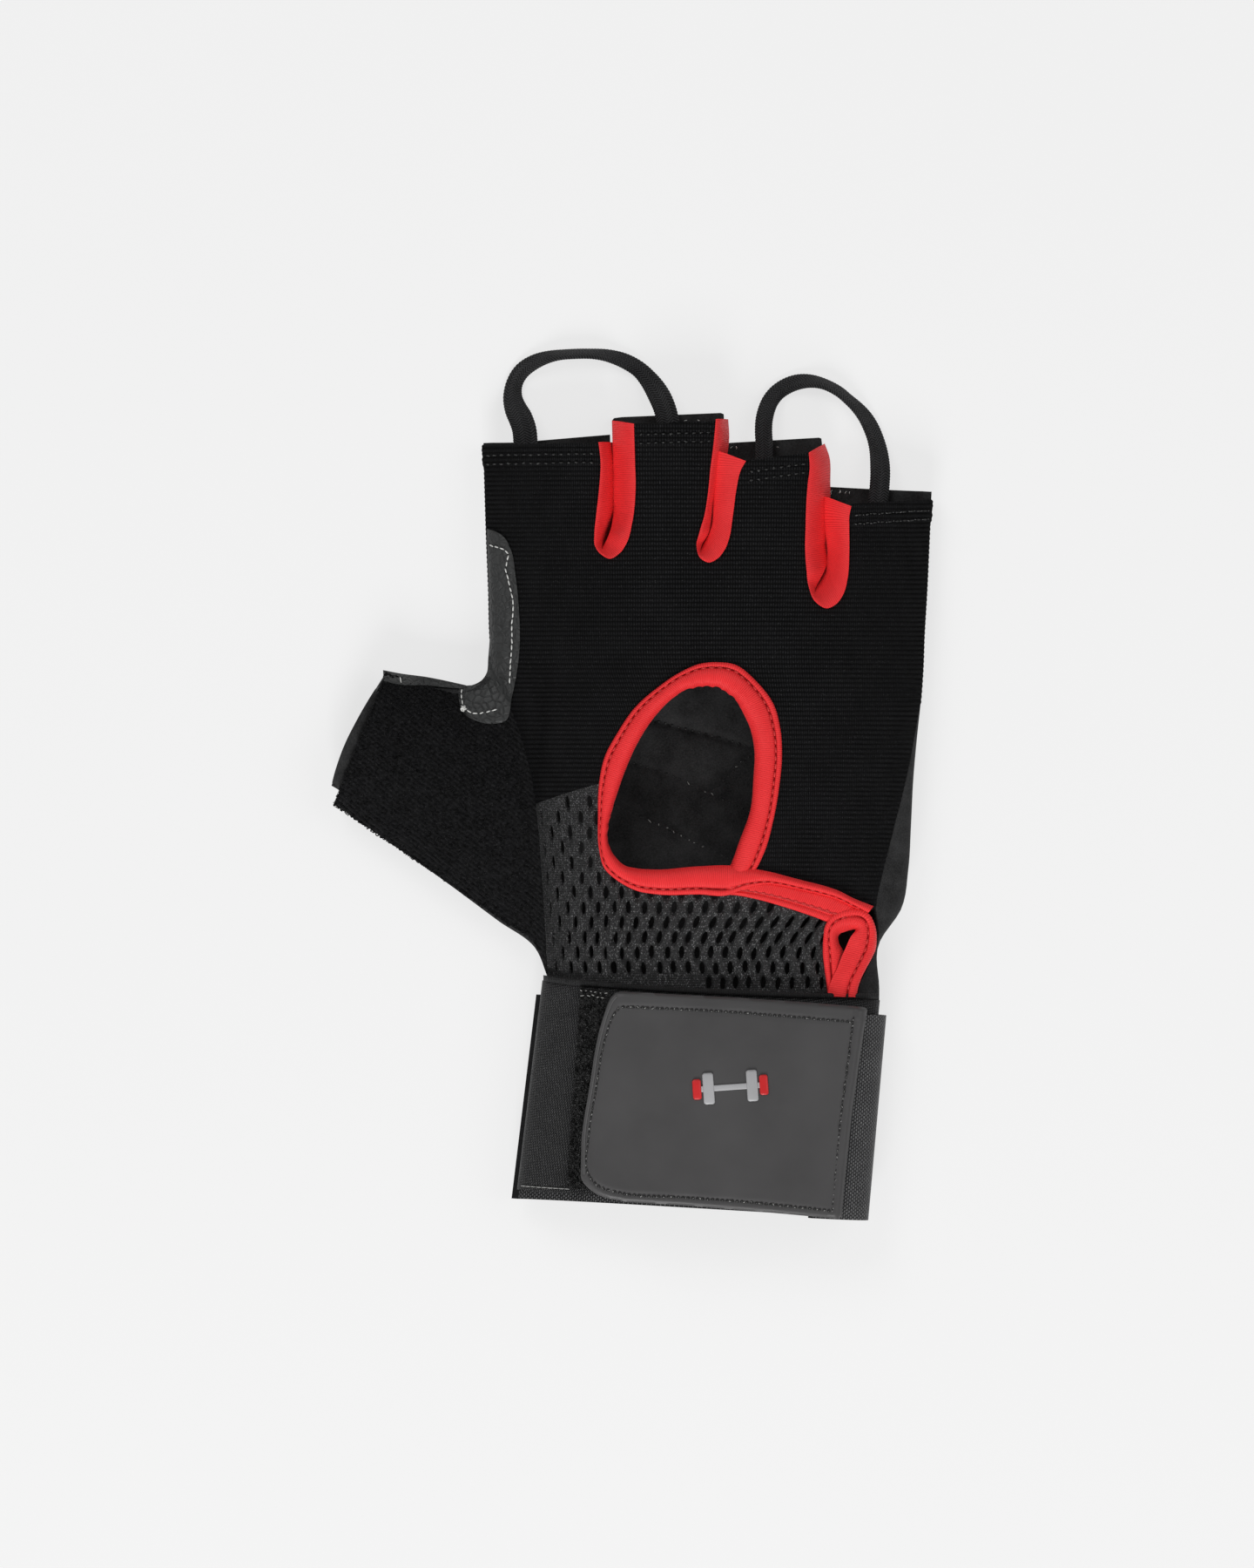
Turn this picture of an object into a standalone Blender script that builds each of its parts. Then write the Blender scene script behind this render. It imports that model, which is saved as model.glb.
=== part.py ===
"""A half-finger weightlifting glove for the right hand, lying palm down and still hollow.

Metres, +Z up, +Y towards the fingertips, the thumb on the -X side. Places in plan are shares
of HAND_WIDTH, from the middle of the hand, and of HAND_LENGTH, from the top of the wrist cuff.
Heights are shares of HAND_HEIGHT. A panel is cut out of one thin skin over the hand.
"""

import math

import bmesh
import bpy
import numpy as np
from mathutils import Vector

# Driving sizes of the glove
HAND_WIDTH = 0.103
HAND_LENGTH = 0.130
HAND_HEIGHT = 0.0175
THUMB_SEAM_HEIGHT = 0.0062
THUMB_HEIGHT = 0.0128
CUFF_LENGTH = 0.048
CUFF_WIDTH = 0.0788
CUFF_SLOPE = 0.0587
CUFF_LEAN = 0.105

# Walls
KNIT_WALL = 0.0012
MESH_WALL = 0.0016
TERRY_WALL = 0.0020
PALM_WALL = 0.0020
TAPE_WALL = 0.0018
GUSSET_WALL = 0.0010
ELASTIC_WALL = 0.0015
CLOSURE_WALL = 0.0015
TAB_WALL = 0.0018
TAB_CORNER = 0.0060

# How far a piece stands above the knit beside it
PATCH_RAISE = 0.0005
TAPE_RAISE = 0.0008
CUFF_RAISE = 0.0005

# Net, cords and clearances
NET_PITCH = 0.0036
NET_HOLE_WIDTH = 0.0014
NET_HOLE_LENGTH = 0.0028
NET_BORDER = 0.0012
LOOP_WIDTH = 0.0034
GAP = 0.0003
SEAM_GAP = 0.0003
TERRY_INSET = 0.0012
GUSSET_GAP_WIDTH = 0.0012

# Where the thumb leaves the hand, as a share of the hand's length
CROTCH = 0.575
# The cut between hand and thumb, from under the cuff to just past the crotch
SEAM_START = -0.06
SEAM_END = CROTCH + 0.013
# How high the skin stays, between seam and crown, where the thumb runs into the hand
CROWN_JOIN = 0.62
SOLE_JOIN = 0.90
# The share of the sole's half width that is flat
SOLE_FLAT = 0.62

# Sections across the hand: places along it, its two sides, and the heights of its side seam,
# of its crown and of its sole
SECTION_COLUMNS = ("along", "left", "right", "seam", "crown", "sole")
SECTIONS = (
    (0.00, -0.354, 0.383, 0.52, 0.93, 0.115),
    (0.08, -0.360, 0.383, 0.49, 0.95, 0.055),
    (0.14, -0.364, 0.432, 0.47, 0.96, 0.015),
    (0.21, -0.370, 0.448, 0.46, 0.98, 0.000),
    (0.29, -0.378, 0.455, 0.46, 1.00, 0.000),
    (0.37, -0.391, 0.460, 0.46, 1.00, 0.000),
    (0.44, -0.413, 0.467, 0.46, 0.99, 0.000),
    (0.515, -0.448, 0.477, 0.45, 0.97, 0.000),
    (0.575, -0.481, 0.482, 0.43, 0.94, 0.000),
    (0.62, -0.486, 0.484, 0.42, 0.92, 0.000),
    (0.70, -0.489, 0.490, 0.40, 0.87, 0.000),
    (0.80, -0.494, 0.496, 0.37, 0.81, 0.000),
    (0.90, -0.498, 0.502, 0.35, 0.76, 0.000),
    (1.03, -0.503, 0.509, 0.33, 0.71, 0.000),
)

# Fingers, index first: where the back and the palm layer end, at each side of the finger
FINGER_COLUMNS = ("back_left", "back_right", "palm_left", "palm_right")
FINGERS = (
    (0.965, 0.962, 0.968, 0.982),
    (1.000, 1.001, 1.010, 1.021),
    (0.936, 0.952, 0.964, 0.976),
    (0.858, 0.866, 0.887, 0.879),
)

# Slots between the fingers: the crotch, the slot's middle there and at the tips, its half width,
# how far the fold of its tape lies off its middle, and how deep the skin dips beside it
SLOT_COLUMNS = ("crotch", "middle", "tip_middle", "half_width", "fold", "dip")
SLOTS = (
    (0.758, -0.222, -0.209, 0.041, -0.014, 0.10),
    (0.754, 0.000, 0.043, 0.038, -0.022, 0.10),
    (0.672, 0.262, 0.266, 0.046, -0.006, 0.10),
)

# Dents and folds in the back: place, spread along and across, turn in degrees, depth
DENT_COLUMNS = ("x", "y", "spread_x", "spread_y", "turn", "depth")
DENTS = (
    (-0.375, 0.47, 0.016, 0.130, -6.0, 0.110),
    (-0.330, 0.50, 0.022, 0.120, -4.0, -0.035),
    (-0.120, 0.62, 0.030, 0.080, 20.0, 0.030),
    (0.330, 0.30, 0.040, 0.060, -25.0, 0.025),
    (0.410, 0.16, 0.030, 0.050, -10.0, 0.050),
    (-0.215, 0.10, 0.010, 0.090, 4.0, 0.040),
)

# Where the palm's suede, which wraps up over the right side, ends on the back
WRAP_COLUMNS = ("along", "x")
WRAP_EDGE = (
    (-0.02, 0.333),
    (0.00, 0.336),
    (0.04, 0.358),
    (0.07, 0.376),
    (0.09, 0.382),
    (0.15, 0.375),
    (0.18, 0.382),
    (0.23, 0.397),
    (0.28, 0.413),
    (0.35, 0.436),
    (0.42, 0.455),
    (0.485, 0.470),
    (0.52, 0.480),
)

# Outlines in plan, as (x, y) shares
KEYHOLE_OUTSIDE = (
    (0.094, 0.168), (0.111, 0.209), (0.126, 0.242), (0.144, 0.292), (0.158, 0.355), (0.164, 0.408),
    (0.160, 0.458), (0.145, 0.502), (0.105, 0.543), (0.061, 0.569), (0.022, 0.574), (-0.018, 0.572),
    (-0.063, 0.555), (-0.112, 0.528), (-0.162, 0.494), (-0.201, 0.448), (-0.230, 0.402),
    (-0.242, 0.355), (-0.244, 0.303), (-0.242, 0.245), (-0.232, 0.214), (-0.207, 0.191),
    (-0.162, 0.172), (-0.112, 0.165), (-0.018, 0.165), (0.044, 0.165),
)  # fmt: skip
KEYHOLE_INSIDE = (
    (0.050, 0.215), (0.071, 0.258), (0.094, 0.312), (0.102, 0.374), (0.103, 0.428), (0.094, 0.458),
    (0.067, 0.499), (0.038, 0.522), (0.005, 0.532), (-0.046, 0.528), (-0.079, 0.512),
    (-0.117, 0.482), (-0.156, 0.432), (-0.191, 0.372), (-0.212, 0.314), (-0.222, 0.268),
    (-0.212, 0.240), (-0.185, 0.216), (-0.129, 0.210), (-0.046, 0.214),
)  # fmt: skip
HEM_TAPE_TOP = ((0.105, 0.214), (0.166, 0.205), (0.238, 0.192), (0.280, 0.180), (0.318, 0.163), (0.371, 0.142))
HEM_TAPE_FOOT = ((0.318, 0.142), (0.285, 0.156), (0.240, 0.167), (0.184, 0.176), (0.108, 0.182))
MESH_TAPE_TOP = ((0.108, 0.178), (0.184, 0.171), (0.240, 0.162), (0.276, 0.151))
MESH_TAPE_FOOT = ((0.258, 0.122), (0.205, 0.138), (0.127, 0.155), (0.102, 0.158))
PATCH = (
    (-0.560, 0.818), (-0.478, 0.810), (-0.455, 0.798), (-0.438, 0.772), (-0.428, 0.730),
    (-0.420, 0.668), (-0.418, 0.606), (-0.424, 0.560), (-0.436, 0.514), (-0.452, 0.471),
    (-0.475, 0.466), (-0.514, 0.470), (-0.541, 0.482), (-0.556, 0.508), (-0.560, 0.600),
)  # fmt: skip
# The binding of the wrist slit, a loop with its two legs under the cuff
SLIT_OUTSIDE = (
    (0.268, -0.006), (0.265, 0.020), (0.258, 0.052), (0.257, 0.082), (0.260, 0.104), (0.269, 0.119),
    (0.289, 0.131), (0.315, 0.136), (0.341, 0.134), (0.360, 0.124), (0.370, 0.106), (0.373, 0.087),
    (0.369, 0.063), (0.354, 0.037), (0.334, 0.014), (0.329, -0.012),
)  # fmt: skip
SLIT_FOLD_WIDTH = 0.0016
SLIT_DEPTH = 0.0040
# How much of a folded tape lies level at its outer edge
TAPE_LEVEL = 0.0008
SLIT_FOLD_X = 0.307
SLIT_FOLD_TOP = 0.100

# The thumb's two edges between the hand and its opening, and the opening's two ends
THUMB_UPPER_EDGE = ((-0.504, 0.545), (-0.543, 0.533), (-0.600, 0.537), (-0.642, 0.545))
THUMB_LOWER_EDGE = ((-0.413, 0.071), (-0.490, 0.119), (-0.607, 0.195), (-0.725, 0.268))
THUMB_TIP_UPPER = (-0.721, 0.558)
THUMB_TIP_LOWER = (-0.839, 0.330)
# The upper edge of the net where it meets the knit
NET_TOP = ((-0.380, 0.326), (-0.335, 0.335), (-0.292, 0.348), (-0.218, 0.372))

# The wrist closure, as shares of the cuff's half width and of its length
CLOSURE_LEFT = -0.80
CLOSURE_RIGHT = 0.62
CLOSURE_START = 0.04
CLOSURE_END = 0.97
STRAP_TOP_END = 0.66
TAB_LEFT = -0.72
TAB_RIGHT = 0.90
TAB_START = 0.045
TAB_END = 1.055
STRAP_START = 0.07
STRAP_END = 1.07
# Steps of the cuff's stations from its right side under the palm to the strap's sewn end
STRAP_REACH = 13
# How square the cuff's section is, 1 for an ellipse and less for a flatter tube
CUFF_SQUARENESS = 0.75

# Middles of the pull loops in plan, from the left foot to the right one
LOOP_ROUTES = {
    "pull_loop_index_middle": (
        (-0.407, 0.925), (-0.407, 0.964), (-0.411, 0.995), (-0.424, 1.027), (-0.426, 1.056),
        (-0.409, 1.085), (-0.378, 1.104), (-0.342, 1.115), (-0.300, 1.119), (-0.262, 1.117),
        (-0.228, 1.111), (-0.196, 1.101), (-0.162, 1.087), (-0.134, 1.067), (-0.112, 1.045),
        (-0.096, 1.018), (-0.088, 0.990), (-0.085, 0.960),
    ),
    "pull_loop_ring_little": (
        (0.126, 0.925), (0.127, 0.962), (0.126, 1.000), (0.134, 1.028), (0.148, 1.049),
        (0.167, 1.062), (0.190, 1.071), (0.216, 1.075), (0.244, 1.073), (0.268, 1.066),
        (0.290, 1.055), (0.311, 1.037), (0.332, 1.015), (0.350, 0.987), (0.365, 0.955),
        (0.374, 0.920), (0.377, 0.880), (0.378, 0.835),
    ),
}  # fmt: skip
# How far a loop runs inside the fingers, the run in which it comes down to the ground, and how far
# it stays off the palm layer
LOOP_INSIDE = 0.008
LOOP_DESCENT = 0.012
LOOP_LIFT = 0.0005

# How a wall's rim turns in from its outer face: level, or straight down
LEVEL_RIM = 1
UPRIGHT_RIM = 2

# Grid cells
HAND_CELLS = 16
THUMB_CELLS = 6
CROTCH_ROWS = 11
FINGER_ROWS = 9
WRAP_CELLS = 3
CUFF_CELLS = 28
CUFF_ROWS = 4

COLOURS = {
    "knit": ((0.012, 0.012, 0.013), 0.85),
    "net": ((0.030, 0.030, 0.031), 0.65),
    "terry": ((0.010, 0.010, 0.011), 0.95),
    "suede": ((0.016, 0.016, 0.017), 0.90),
    "leather": ((0.040, 0.041, 0.042), 0.55),
    "tape": ((0.720, 0.020, 0.022), 0.55),
    "elastic": ((0.022, 0.022, 0.023), 0.75),
    "hook": ((0.015, 0.015, 0.016), 0.60),
    "rubber": ((0.062, 0.060, 0.061), 0.45),
    "cord": ((0.020, 0.020, 0.021), 0.60),
}


def column(rows, columns, name):
    """One named column of a table."""
    return np.array([row[columns.index(name)] for row in rows], float)


def smooth_curve(at, knots, values):
    """A smooth curve through the knots, read at the places asked for, held level past its ends."""
    at = np.clip(at, knots[0], knots[-1])
    slopes = np.gradient(values, knots)
    left = np.clip(np.searchsorted(knots, at, side="right") - 1, 0, len(knots) - 2)
    step = knots[left + 1] - knots[left]
    share = (at - knots[left]) / step
    rest = 1 - share
    ends = values[left] * (1 + 2 * share) * rest**2 + values[left + 1] * (1 + 2 * rest) * share**2
    return ends + step * (slopes[left] * share * rest**2 - slopes[left + 1] * rest * share**2)


def section(along, name):
    """A column of the hand's sections at places along it."""
    knots = column(SECTIONS, SECTION_COLUMNS, "along")
    return smooth_curve(along, knots, column(SECTIONS, SECTION_COLUMNS, name))


def in_plan(points):
    """Shares of the hand's width and length as metres."""
    return np.array(points, float) * (HAND_WIDTH, HAND_LENGTH)


def bulge(across):
    """How the back rises from 0 at its sides to 1 in its middle."""
    return np.sqrt(np.clip(1 - np.abs(across) ** 2.4, 0, 1))


def flat_bulge(across):
    """How the sole drops from 0 at its sides to 1 over its flat middle."""
    past = np.clip((np.abs(across) - SOLE_FLAT) / (1 - SOLE_FLAT), 0, 1)
    return np.sqrt(1 - past**2)


def thumb_join(along, height):
    """How much of its rise the hand keeps at its left side, where the thumb runs into it."""
    share = np.clip(along / CROTCH, 0, 1)
    return height * np.sin(math.pi * share) ** 0.7


def dents(x, y):
    """How far the dents lower the back, as a share of the hand's height."""
    total = np.zeros_like(x)
    for row in DENTS:
        dent = dict(zip(DENT_COLUMNS, row))
        turn = math.radians(dent["turn"])
        off_x, off_y = x / HAND_WIDTH - dent["x"], y / HAND_LENGTH - dent["y"]
        across = (off_x * math.cos(turn) + off_y * math.sin(turn)) / dent["spread_x"]
        down = (off_y * math.cos(turn) - off_x * math.sin(turn)) / dent["spread_y"]
        total += dent["depth"] * np.exp(-(across**2) - down**2)
    for row in SLOTS:
        slot = dict(zip(SLOT_COLUMNS, row))
        across = (x / HAND_WIDTH - slot_middle(slot, y / HAND_LENGTH)) / (1.5 * slot["half_width"])
        reach = np.clip((y / HAND_LENGTH - slot["crotch"] + 0.12) / 0.16, 0, 1)
        total += slot["dip"] * reach**2 * (3 - 2 * reach) * np.exp(-(across**2))
    return total


def across_hand(x, along):
    """-1 at the hand's left side, 1 at its right side."""
    left, right = section(along, "left") * HAND_WIDTH, section(along, "right") * HAND_WIDTH
    return np.clip((2 * x - left - right) / (right - left), -1, 1)


def back_height(x, y):
    """Height of the back's outer face over a point of the hand."""
    along = y / HAND_LENGTH
    across = across_hand(x, along)
    rise = bulge(across)
    joined = 1 - (1 - thumb_join(along, CROWN_JOIN)) * (1 - rise)
    rise = np.where(across < 0, joined, rise)
    seam, crown = section(along, "seam"), section(along, "crown")
    share = seam + (crown - seam) * rise - dents(x, y) * rise
    return HAND_HEIGHT * share + SEAM_GAP / 2


def sole_height(x, y):
    """Height of the palm's outer face under a point of the hand."""
    along = y / HAND_LENGTH
    across = across_hand(x, along)
    drop = flat_bulge(across)
    joined = 1 - (1 - thumb_join(along, SOLE_JOIN)) * (1 - drop)
    drop = np.where(across < 0, joined, drop)
    seam, sole = section(along, "seam"), np.maximum(section(along, "sole"), 0)
    return HAND_HEIGHT * (seam - (seam - sole) * drop) - SEAM_GAP / 2 * (1 - drop)


def wrap_edge(y):
    """Where the palm's wrap ends on the back, at heights y along the hand."""
    along = y / HAND_LENGTH
    knots = column(WRAP_EDGE, WRAP_COLUMNS, "along")
    edge = smooth_curve(along, knots, column(WRAP_EDGE, WRAP_COLUMNS, "x"))
    return HAND_WIDTH * np.where(along < knots[-1], np.minimum(edge, section(along, "right")), section(along, "right"))


def hand_plan(cells, crotch_rows, finger_rows):
    """Rows of plan points over the hand, closer together towards its sides."""
    to_crotch = np.linspace(0, CROTCH, crotch_rows + 1)
    to_tips = np.linspace(CROTCH, SECTIONS[-1][0], finger_rows + 1)[1:]
    along = np.concatenate([to_crotch, to_tips])[:, None]
    across = np.sin(np.linspace(-math.pi / 2, math.pi / 2, cells + 1))[None, :]
    left, right = section(along, "left"), section(along, "right")
    x = HAND_WIDTH * ((left + right) / 2 + across * (right - left) / 2)
    y = HAND_LENGTH * along - CUFF_SLOPE * x * (1 - along) ** 2
    left, right = section(y / HAND_LENGTH, "left"), section(y / HAND_LENGTH, "right")
    x = HAND_WIDTH * ((left + right) / 2 + across * (right - left) / 2)
    return x, y


def edge_points(first, middle, last, shares):
    """Points at shares along a smooth edge through first, middle points and last."""
    points = np.vstack([first, in_plan(middle), last])
    steps = np.linalg.norm(np.diff(points, axis=0), axis=1)
    knots = np.concatenate([[0], np.cumsum(steps)]) / steps.sum()
    return np.stack([smooth_curve(shares, knots, points[:, axis]) for axis in (0, 1)], axis=1)


def thumb_points(root, cells, crown, profile):
    """The thumb's skin, as rows from its root out to its opening, where crown is its height."""
    count = len(root)
    over = (1 - np.cos(np.linspace(0, math.pi, count))) / 2
    lower_tip, upper_tip = in_plan(THUMB_TIP_LOWER), in_plan(THUMB_TIP_UPPER)
    tip = lower_tip + over[:, None] * (upper_tip - lower_tip)
    out = np.linspace(0, 1, cells + 1)
    lower = edge_points(root[0, :2], THUMB_LOWER_EDGE, lower_tip, out)
    upper = edge_points(root[-1, :2], THUMB_UPPER_EDGE, upper_tip, out)
    rise = profile(2 * over - 1)
    along_edge = np.linspace(0, 1, count)
    sheet_points = []
    for share, low, high in zip(out, lower, upper):
        v = along_edge[:, None]
        ruled = (1 - share) * root[:, :2] + share * tip + (1 - v) * low + v * high
        corners = (1 - share) * ((1 - v) * root[0, :2] + v * root[-1, :2])
        corners = corners + share * ((1 - v) * lower_tip + v * upper_tip)
        seam_at_root = root[0, 2] + (root[-1, 2] - root[0, 2]) * along_edge
        seam = (1 - share) * seam_at_root + share * THUMB_SEAM_HEIGHT
        root_rise = root[:, 2] - seam_at_root
        blend = share**1.3
        height = seam + (1 - blend) * root_rise + blend * (crown - THUMB_SEAM_HEIGHT) * rise
        sheet_points.append(np.column_stack([ruled - corners, height]))
    return np.array(sheet_points)


def back_skin_points():
    """Grids of the back's outer face, over the hand and over the thumb, and how their rims turn in."""
    x, y = hand_plan(HAND_CELLS, CROTCH_ROWS, FINGER_ROWS)
    hand = np.stack([x, y, back_height(x, y)], axis=2)
    thumb = thumb_points(hand[: CROTCH_ROWS + 1, 0], THUMB_CELLS, THUMB_HEIGHT, bulge)
    rims = hand_rims(hand)
    rims[:, -1] = LEVEL_RIM
    return [hand, thumb], [rims, thumb_rims(thumb)]


def hand_rims(hand):
    """Marks the hand's left side where no thumb joins it."""
    rims = np.zeros(hand.shape[:2], int)
    rims[0, 0] = LEVEL_RIM
    rims[CROTCH_ROWS:, 0] = LEVEL_RIM
    return rims


def thumb_rims(thumb):
    """Marks the thumb's lower and upper edges."""
    rims = np.zeros(thumb.shape[:2], int)
    rims[:, 0] = LEVEL_RIM
    rims[:, -1] = LEVEL_RIM
    return rims


def sole_skin_points():
    """Grids of the palm's outer face, under the hand with its wrap and under the thumb, and their rims."""
    x, y = hand_plan(HAND_CELLS, CROTCH_ROWS, FINGER_ROWS)
    hand = np.stack([x, y, sole_height(x, y)], axis=2)
    wrap_y = y[:, -1]
    reach = wrap_edge(wrap_y) - x[:, -1]
    ends = np.abs(reach) < GAP
    wraps = []
    for share in np.linspace(0, 1, WRAP_CELLS + 1)[1:]:
        wrap_x = x[:, -1] + share * reach
        column_points = np.stack([wrap_x, wrap_y, back_height(wrap_x, wrap_y)], axis=1)
        column_points[ends] = hand[:, -1][ends]
        wraps.append(column_points)
    palm = np.concatenate([hand, np.array(wraps).transpose(1, 0, 2)], axis=1)
    rims = np.zeros(palm.shape[:2], int)
    rims[:, : hand.shape[1]] = hand_rims(hand)
    rims[:, -1] = UPRIGHT_RIM
    rims[ends, HAND_CELLS:] = LEVEL_RIM
    thumb = thumb_points(hand[: CROTCH_ROWS + 1, 0], THUMB_CELLS, 0.0, flat_bulge)
    return [palm, thumb], [rims, thumb_rims(thumb)]


def collection(name):
    """A collection under the scene's own."""
    made = bpy.data.collections.new(name)
    bpy.context.scene.collection.children.link(made)
    return made


def clear_scene():
    for item in list(bpy.data.objects):
        bpy.data.objects.remove(item)


def material(name):
    """A fabric's or rubber's Principled material, made once."""
    found = bpy.data.materials.get(name)
    if found:
        return found
    made = bpy.data.materials.new(name)
    made.use_nodes = True
    shader = made.node_tree.nodes["Principled BSDF"]
    colour, roughness = COLOURS[name]
    shader.inputs["Base Color"].default_value = (*colour, 1)
    shader.inputs["Roughness"].default_value = roughness
    shader.inputs["Metallic"].default_value = 0
    return made


def add_grid(bm, points, rims, layer):
    """Adds a grid to bm with its corners at points[row][column], each marked with its rim."""
    rows, columns = points.shape[:2]
    made = bmesh.ops.create_grid(bm, x_segments=columns - 1, y_segments=rows - 1, size=1)
    for vert, point, rim in zip(made["verts"], points.reshape(-1, 3), rims.reshape(-1)):
        vert.co = point
        vert[layer] = int(rim)


def skin_sheet(grids, rims, side):
    """One open sheet from grids that share edges. Its highest face looks up where side is 1, and its
    lowest face looks down where side is -1."""
    bm = bmesh.new()
    layer = bm.verts.layers.int.new("rim")
    for points, marks in zip(grids, rims):
        add_grid(bm, points, marks, layer)
    bmesh.ops.remove_doubles(bm, verts=bm.verts, dist=1e-5)
    bmesh.ops.dissolve_degenerate(bm, edges=bm.edges, dist=1e-6)
    bmesh.ops.recalc_face_normals(bm, faces=bm.faces)
    outermost = max(bm.faces, key=lambda face: side * face.calc_center_median().z)
    if side * outermost.normal.z < 0:
        bmesh.ops.reverse_faces(bm, faces=bm.faces)
    bm.normal_update()
    return bm


def inward(vert, layer):
    """The direction and stretch that carry a sheet's vertex to the wall's inner face."""
    normal, stretch = vert.normal.copy(), min(vert.calc_shell_factor(), 1.4)
    if vert[layer] == LEVEL_RIM:
        normal.z = 0
        return normal.normalized()
    if vert[layer] == UPRIGHT_RIM:
        return Vector((0, 0, math.copysign(1, normal.z))) * min(1 / abs(normal.z), 1.4)
    return normal * stretch


def wall(name, sheet, finish, thickness, raised=0.0):
    """A wall whose outer face lies raised above a sheet and whose inner face lies thickness below it."""
    layer = sheet.verts.layers.int["rim"]
    sheet.verts.index_update()
    ways = [inward(vert, layer) for vert in sheet.verts]
    outer = [vert.co + way * raised for vert, way in zip(sheet.verts, ways)]
    inner = [vert.co - way * thickness for vert, way in zip(sheet.verts, ways)]
    count = len(outer)
    faces = [[vert.index for vert in face.verts] for face in sheet.faces]
    faces += [[index + count for index in reversed(face)] for face in faces]
    for face in sheet.faces:
        for loop in face.loops:
            if loop.edge.is_boundary:
                start, end = loop.vert.index, loop.link_loop_next.vert.index
                faces.append([end, start, start + count, end + count])
    mesh = bpy.data.meshes.new(name)
    mesh.from_pydata([tuple(point) for point in outer + inner], [], faces)
    mesh.materials.append(material(finish))
    mesh.shade_smooth()
    mesh.set_sharp_from_angle(angle=math.radians(45))
    made = bpy.data.objects.new(name, mesh)
    glove.objects.link(made)
    return made


def grown(outline, distance):
    """A closed outline moved outwards by a distance."""
    outline = np.array(outline, float)
    edge = np.roll(outline, -1, axis=0) - outline
    normal = np.stack([edge[:, 1], -edge[:, 0]], axis=1)
    normal /= np.linalg.norm(normal, axis=1, keepdims=True)
    following = np.roll(outline, -1, axis=0)
    turning_left = np.sum(outline[:, 0] * following[:, 1] - outline[:, 1] * following[:, 0]) > 0
    if not turning_left:
        normal = -normal
    corner = normal + np.roll(normal, 1, axis=0)
    length = np.maximum(np.sum(corner**2, axis=1, keepdims=True), 0.5)
    return outline + distance * 2 * corner / length


def prism(name, outline, low, high):
    """A cutter: an upright prism over a closed outline."""
    curve = bpy.data.curves.new(name, "CURVE")
    curve.dimensions = "2D"
    curve.fill_mode = "BOTH"
    curve.extrude = (high - low) / 2
    spline = curve.splines.new("POLY")
    spline.points.add(len(outline) - 1)
    for point, place in zip(spline.points, outline):
        point.co = (place[0], place[1], 0, 1)
    spline.use_cyclic_u = True
    shape = bpy.data.objects.new(name, curve)
    bpy.context.scene.collection.objects.link(shape)
    bpy.context.view_layer.update()
    graph = bpy.context.evaluated_depsgraph_get()
    mesh = bpy.data.meshes.new_from_object(shape.evaluated_get(graph))
    bpy.data.objects.remove(shape)
    bm = bmesh.new()
    bm.from_mesh(mesh)
    bmesh.ops.remove_doubles(bm, verts=bm.verts, dist=1e-6)
    bmesh.ops.recalc_face_normals(bm, faces=bm.faces)
    bm.to_mesh(mesh)
    bm.free()
    return add_cutter(name, mesh, (low + high) / 2)


def add_cutter(name, mesh, height):
    made = bpy.data.objects.new(name, mesh)
    made.location.z = height
    made.hide_render = True
    made.display_type = "WIRE"
    cutters.objects.link(made)
    return made


def cut(piece, cutter, operation="DIFFERENCE"):
    """Cuts piece with cutter, or keeps only what lies in it."""
    boolean = piece.modifiers.new(cutter.name, "BOOLEAN")
    boolean.operation = operation
    boolean.object = cutter
    boolean.solver = "EXACT"


def through(name, outline, grow=0.0):
    """A prism over an outline in shares of the hand, from below it to above it."""
    return prism(name, grown(in_plan(outline), grow), -HAND_HEIGHT, 2 * HAND_HEIGHT)


def slot_middle(slot, along):
    """The middle of a slot between two fingers, as a share of the hand's width."""
    share = np.clip((along - slot["crotch"]) / (1 - slot["crotch"]), 0, 1)
    return slot["middle"] + (slot["tip_middle"] - slot["middle"]) * (1 - (1 - share) ** 2)


def slot_outline(slot, narrower, left_end, right_end, legs, turn):
    """A slot's U in metres, from its left leg's end round the crotch to its right leg's end."""
    half = slot["half_width"] * HAND_WIDTH - narrower
    crotch_middle = HAND_LENGTH * slot["crotch"] + slot["half_width"] * HAND_WIDTH
    fold = slot["fold"] * HAND_WIDTH * narrower / (slot["half_width"] * HAND_WIDTH)
    left_y = np.linspace(left_end, crotch_middle, legs + 1)[:-1]
    right_y = np.linspace(crotch_middle, right_end, legs + 1)[1:]
    angle = np.linspace(math.pi, 2 * math.pi, turn + 1)
    y = np.concatenate([left_y, crotch_middle + half * np.sin(angle), right_y])
    side = np.concatenate([-np.ones(legs), np.cos(angle), np.ones(legs)])
    x = HAND_WIDTH * slot_middle(slot, y / HAND_LENGTH) + fold + side * half
    return np.stack([x, y], axis=1)


def slot_cutter(name, slot, narrower, grow):
    """A prism over a slot, past the fingertips."""
    end = 1.2 * HAND_LENGTH
    outline = slot_outline(slot, narrower, end, end, 8, 10)
    return prism(name, grown(outline, grow), -HAND_HEIGHT, 2 * HAND_HEIGHT)


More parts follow.
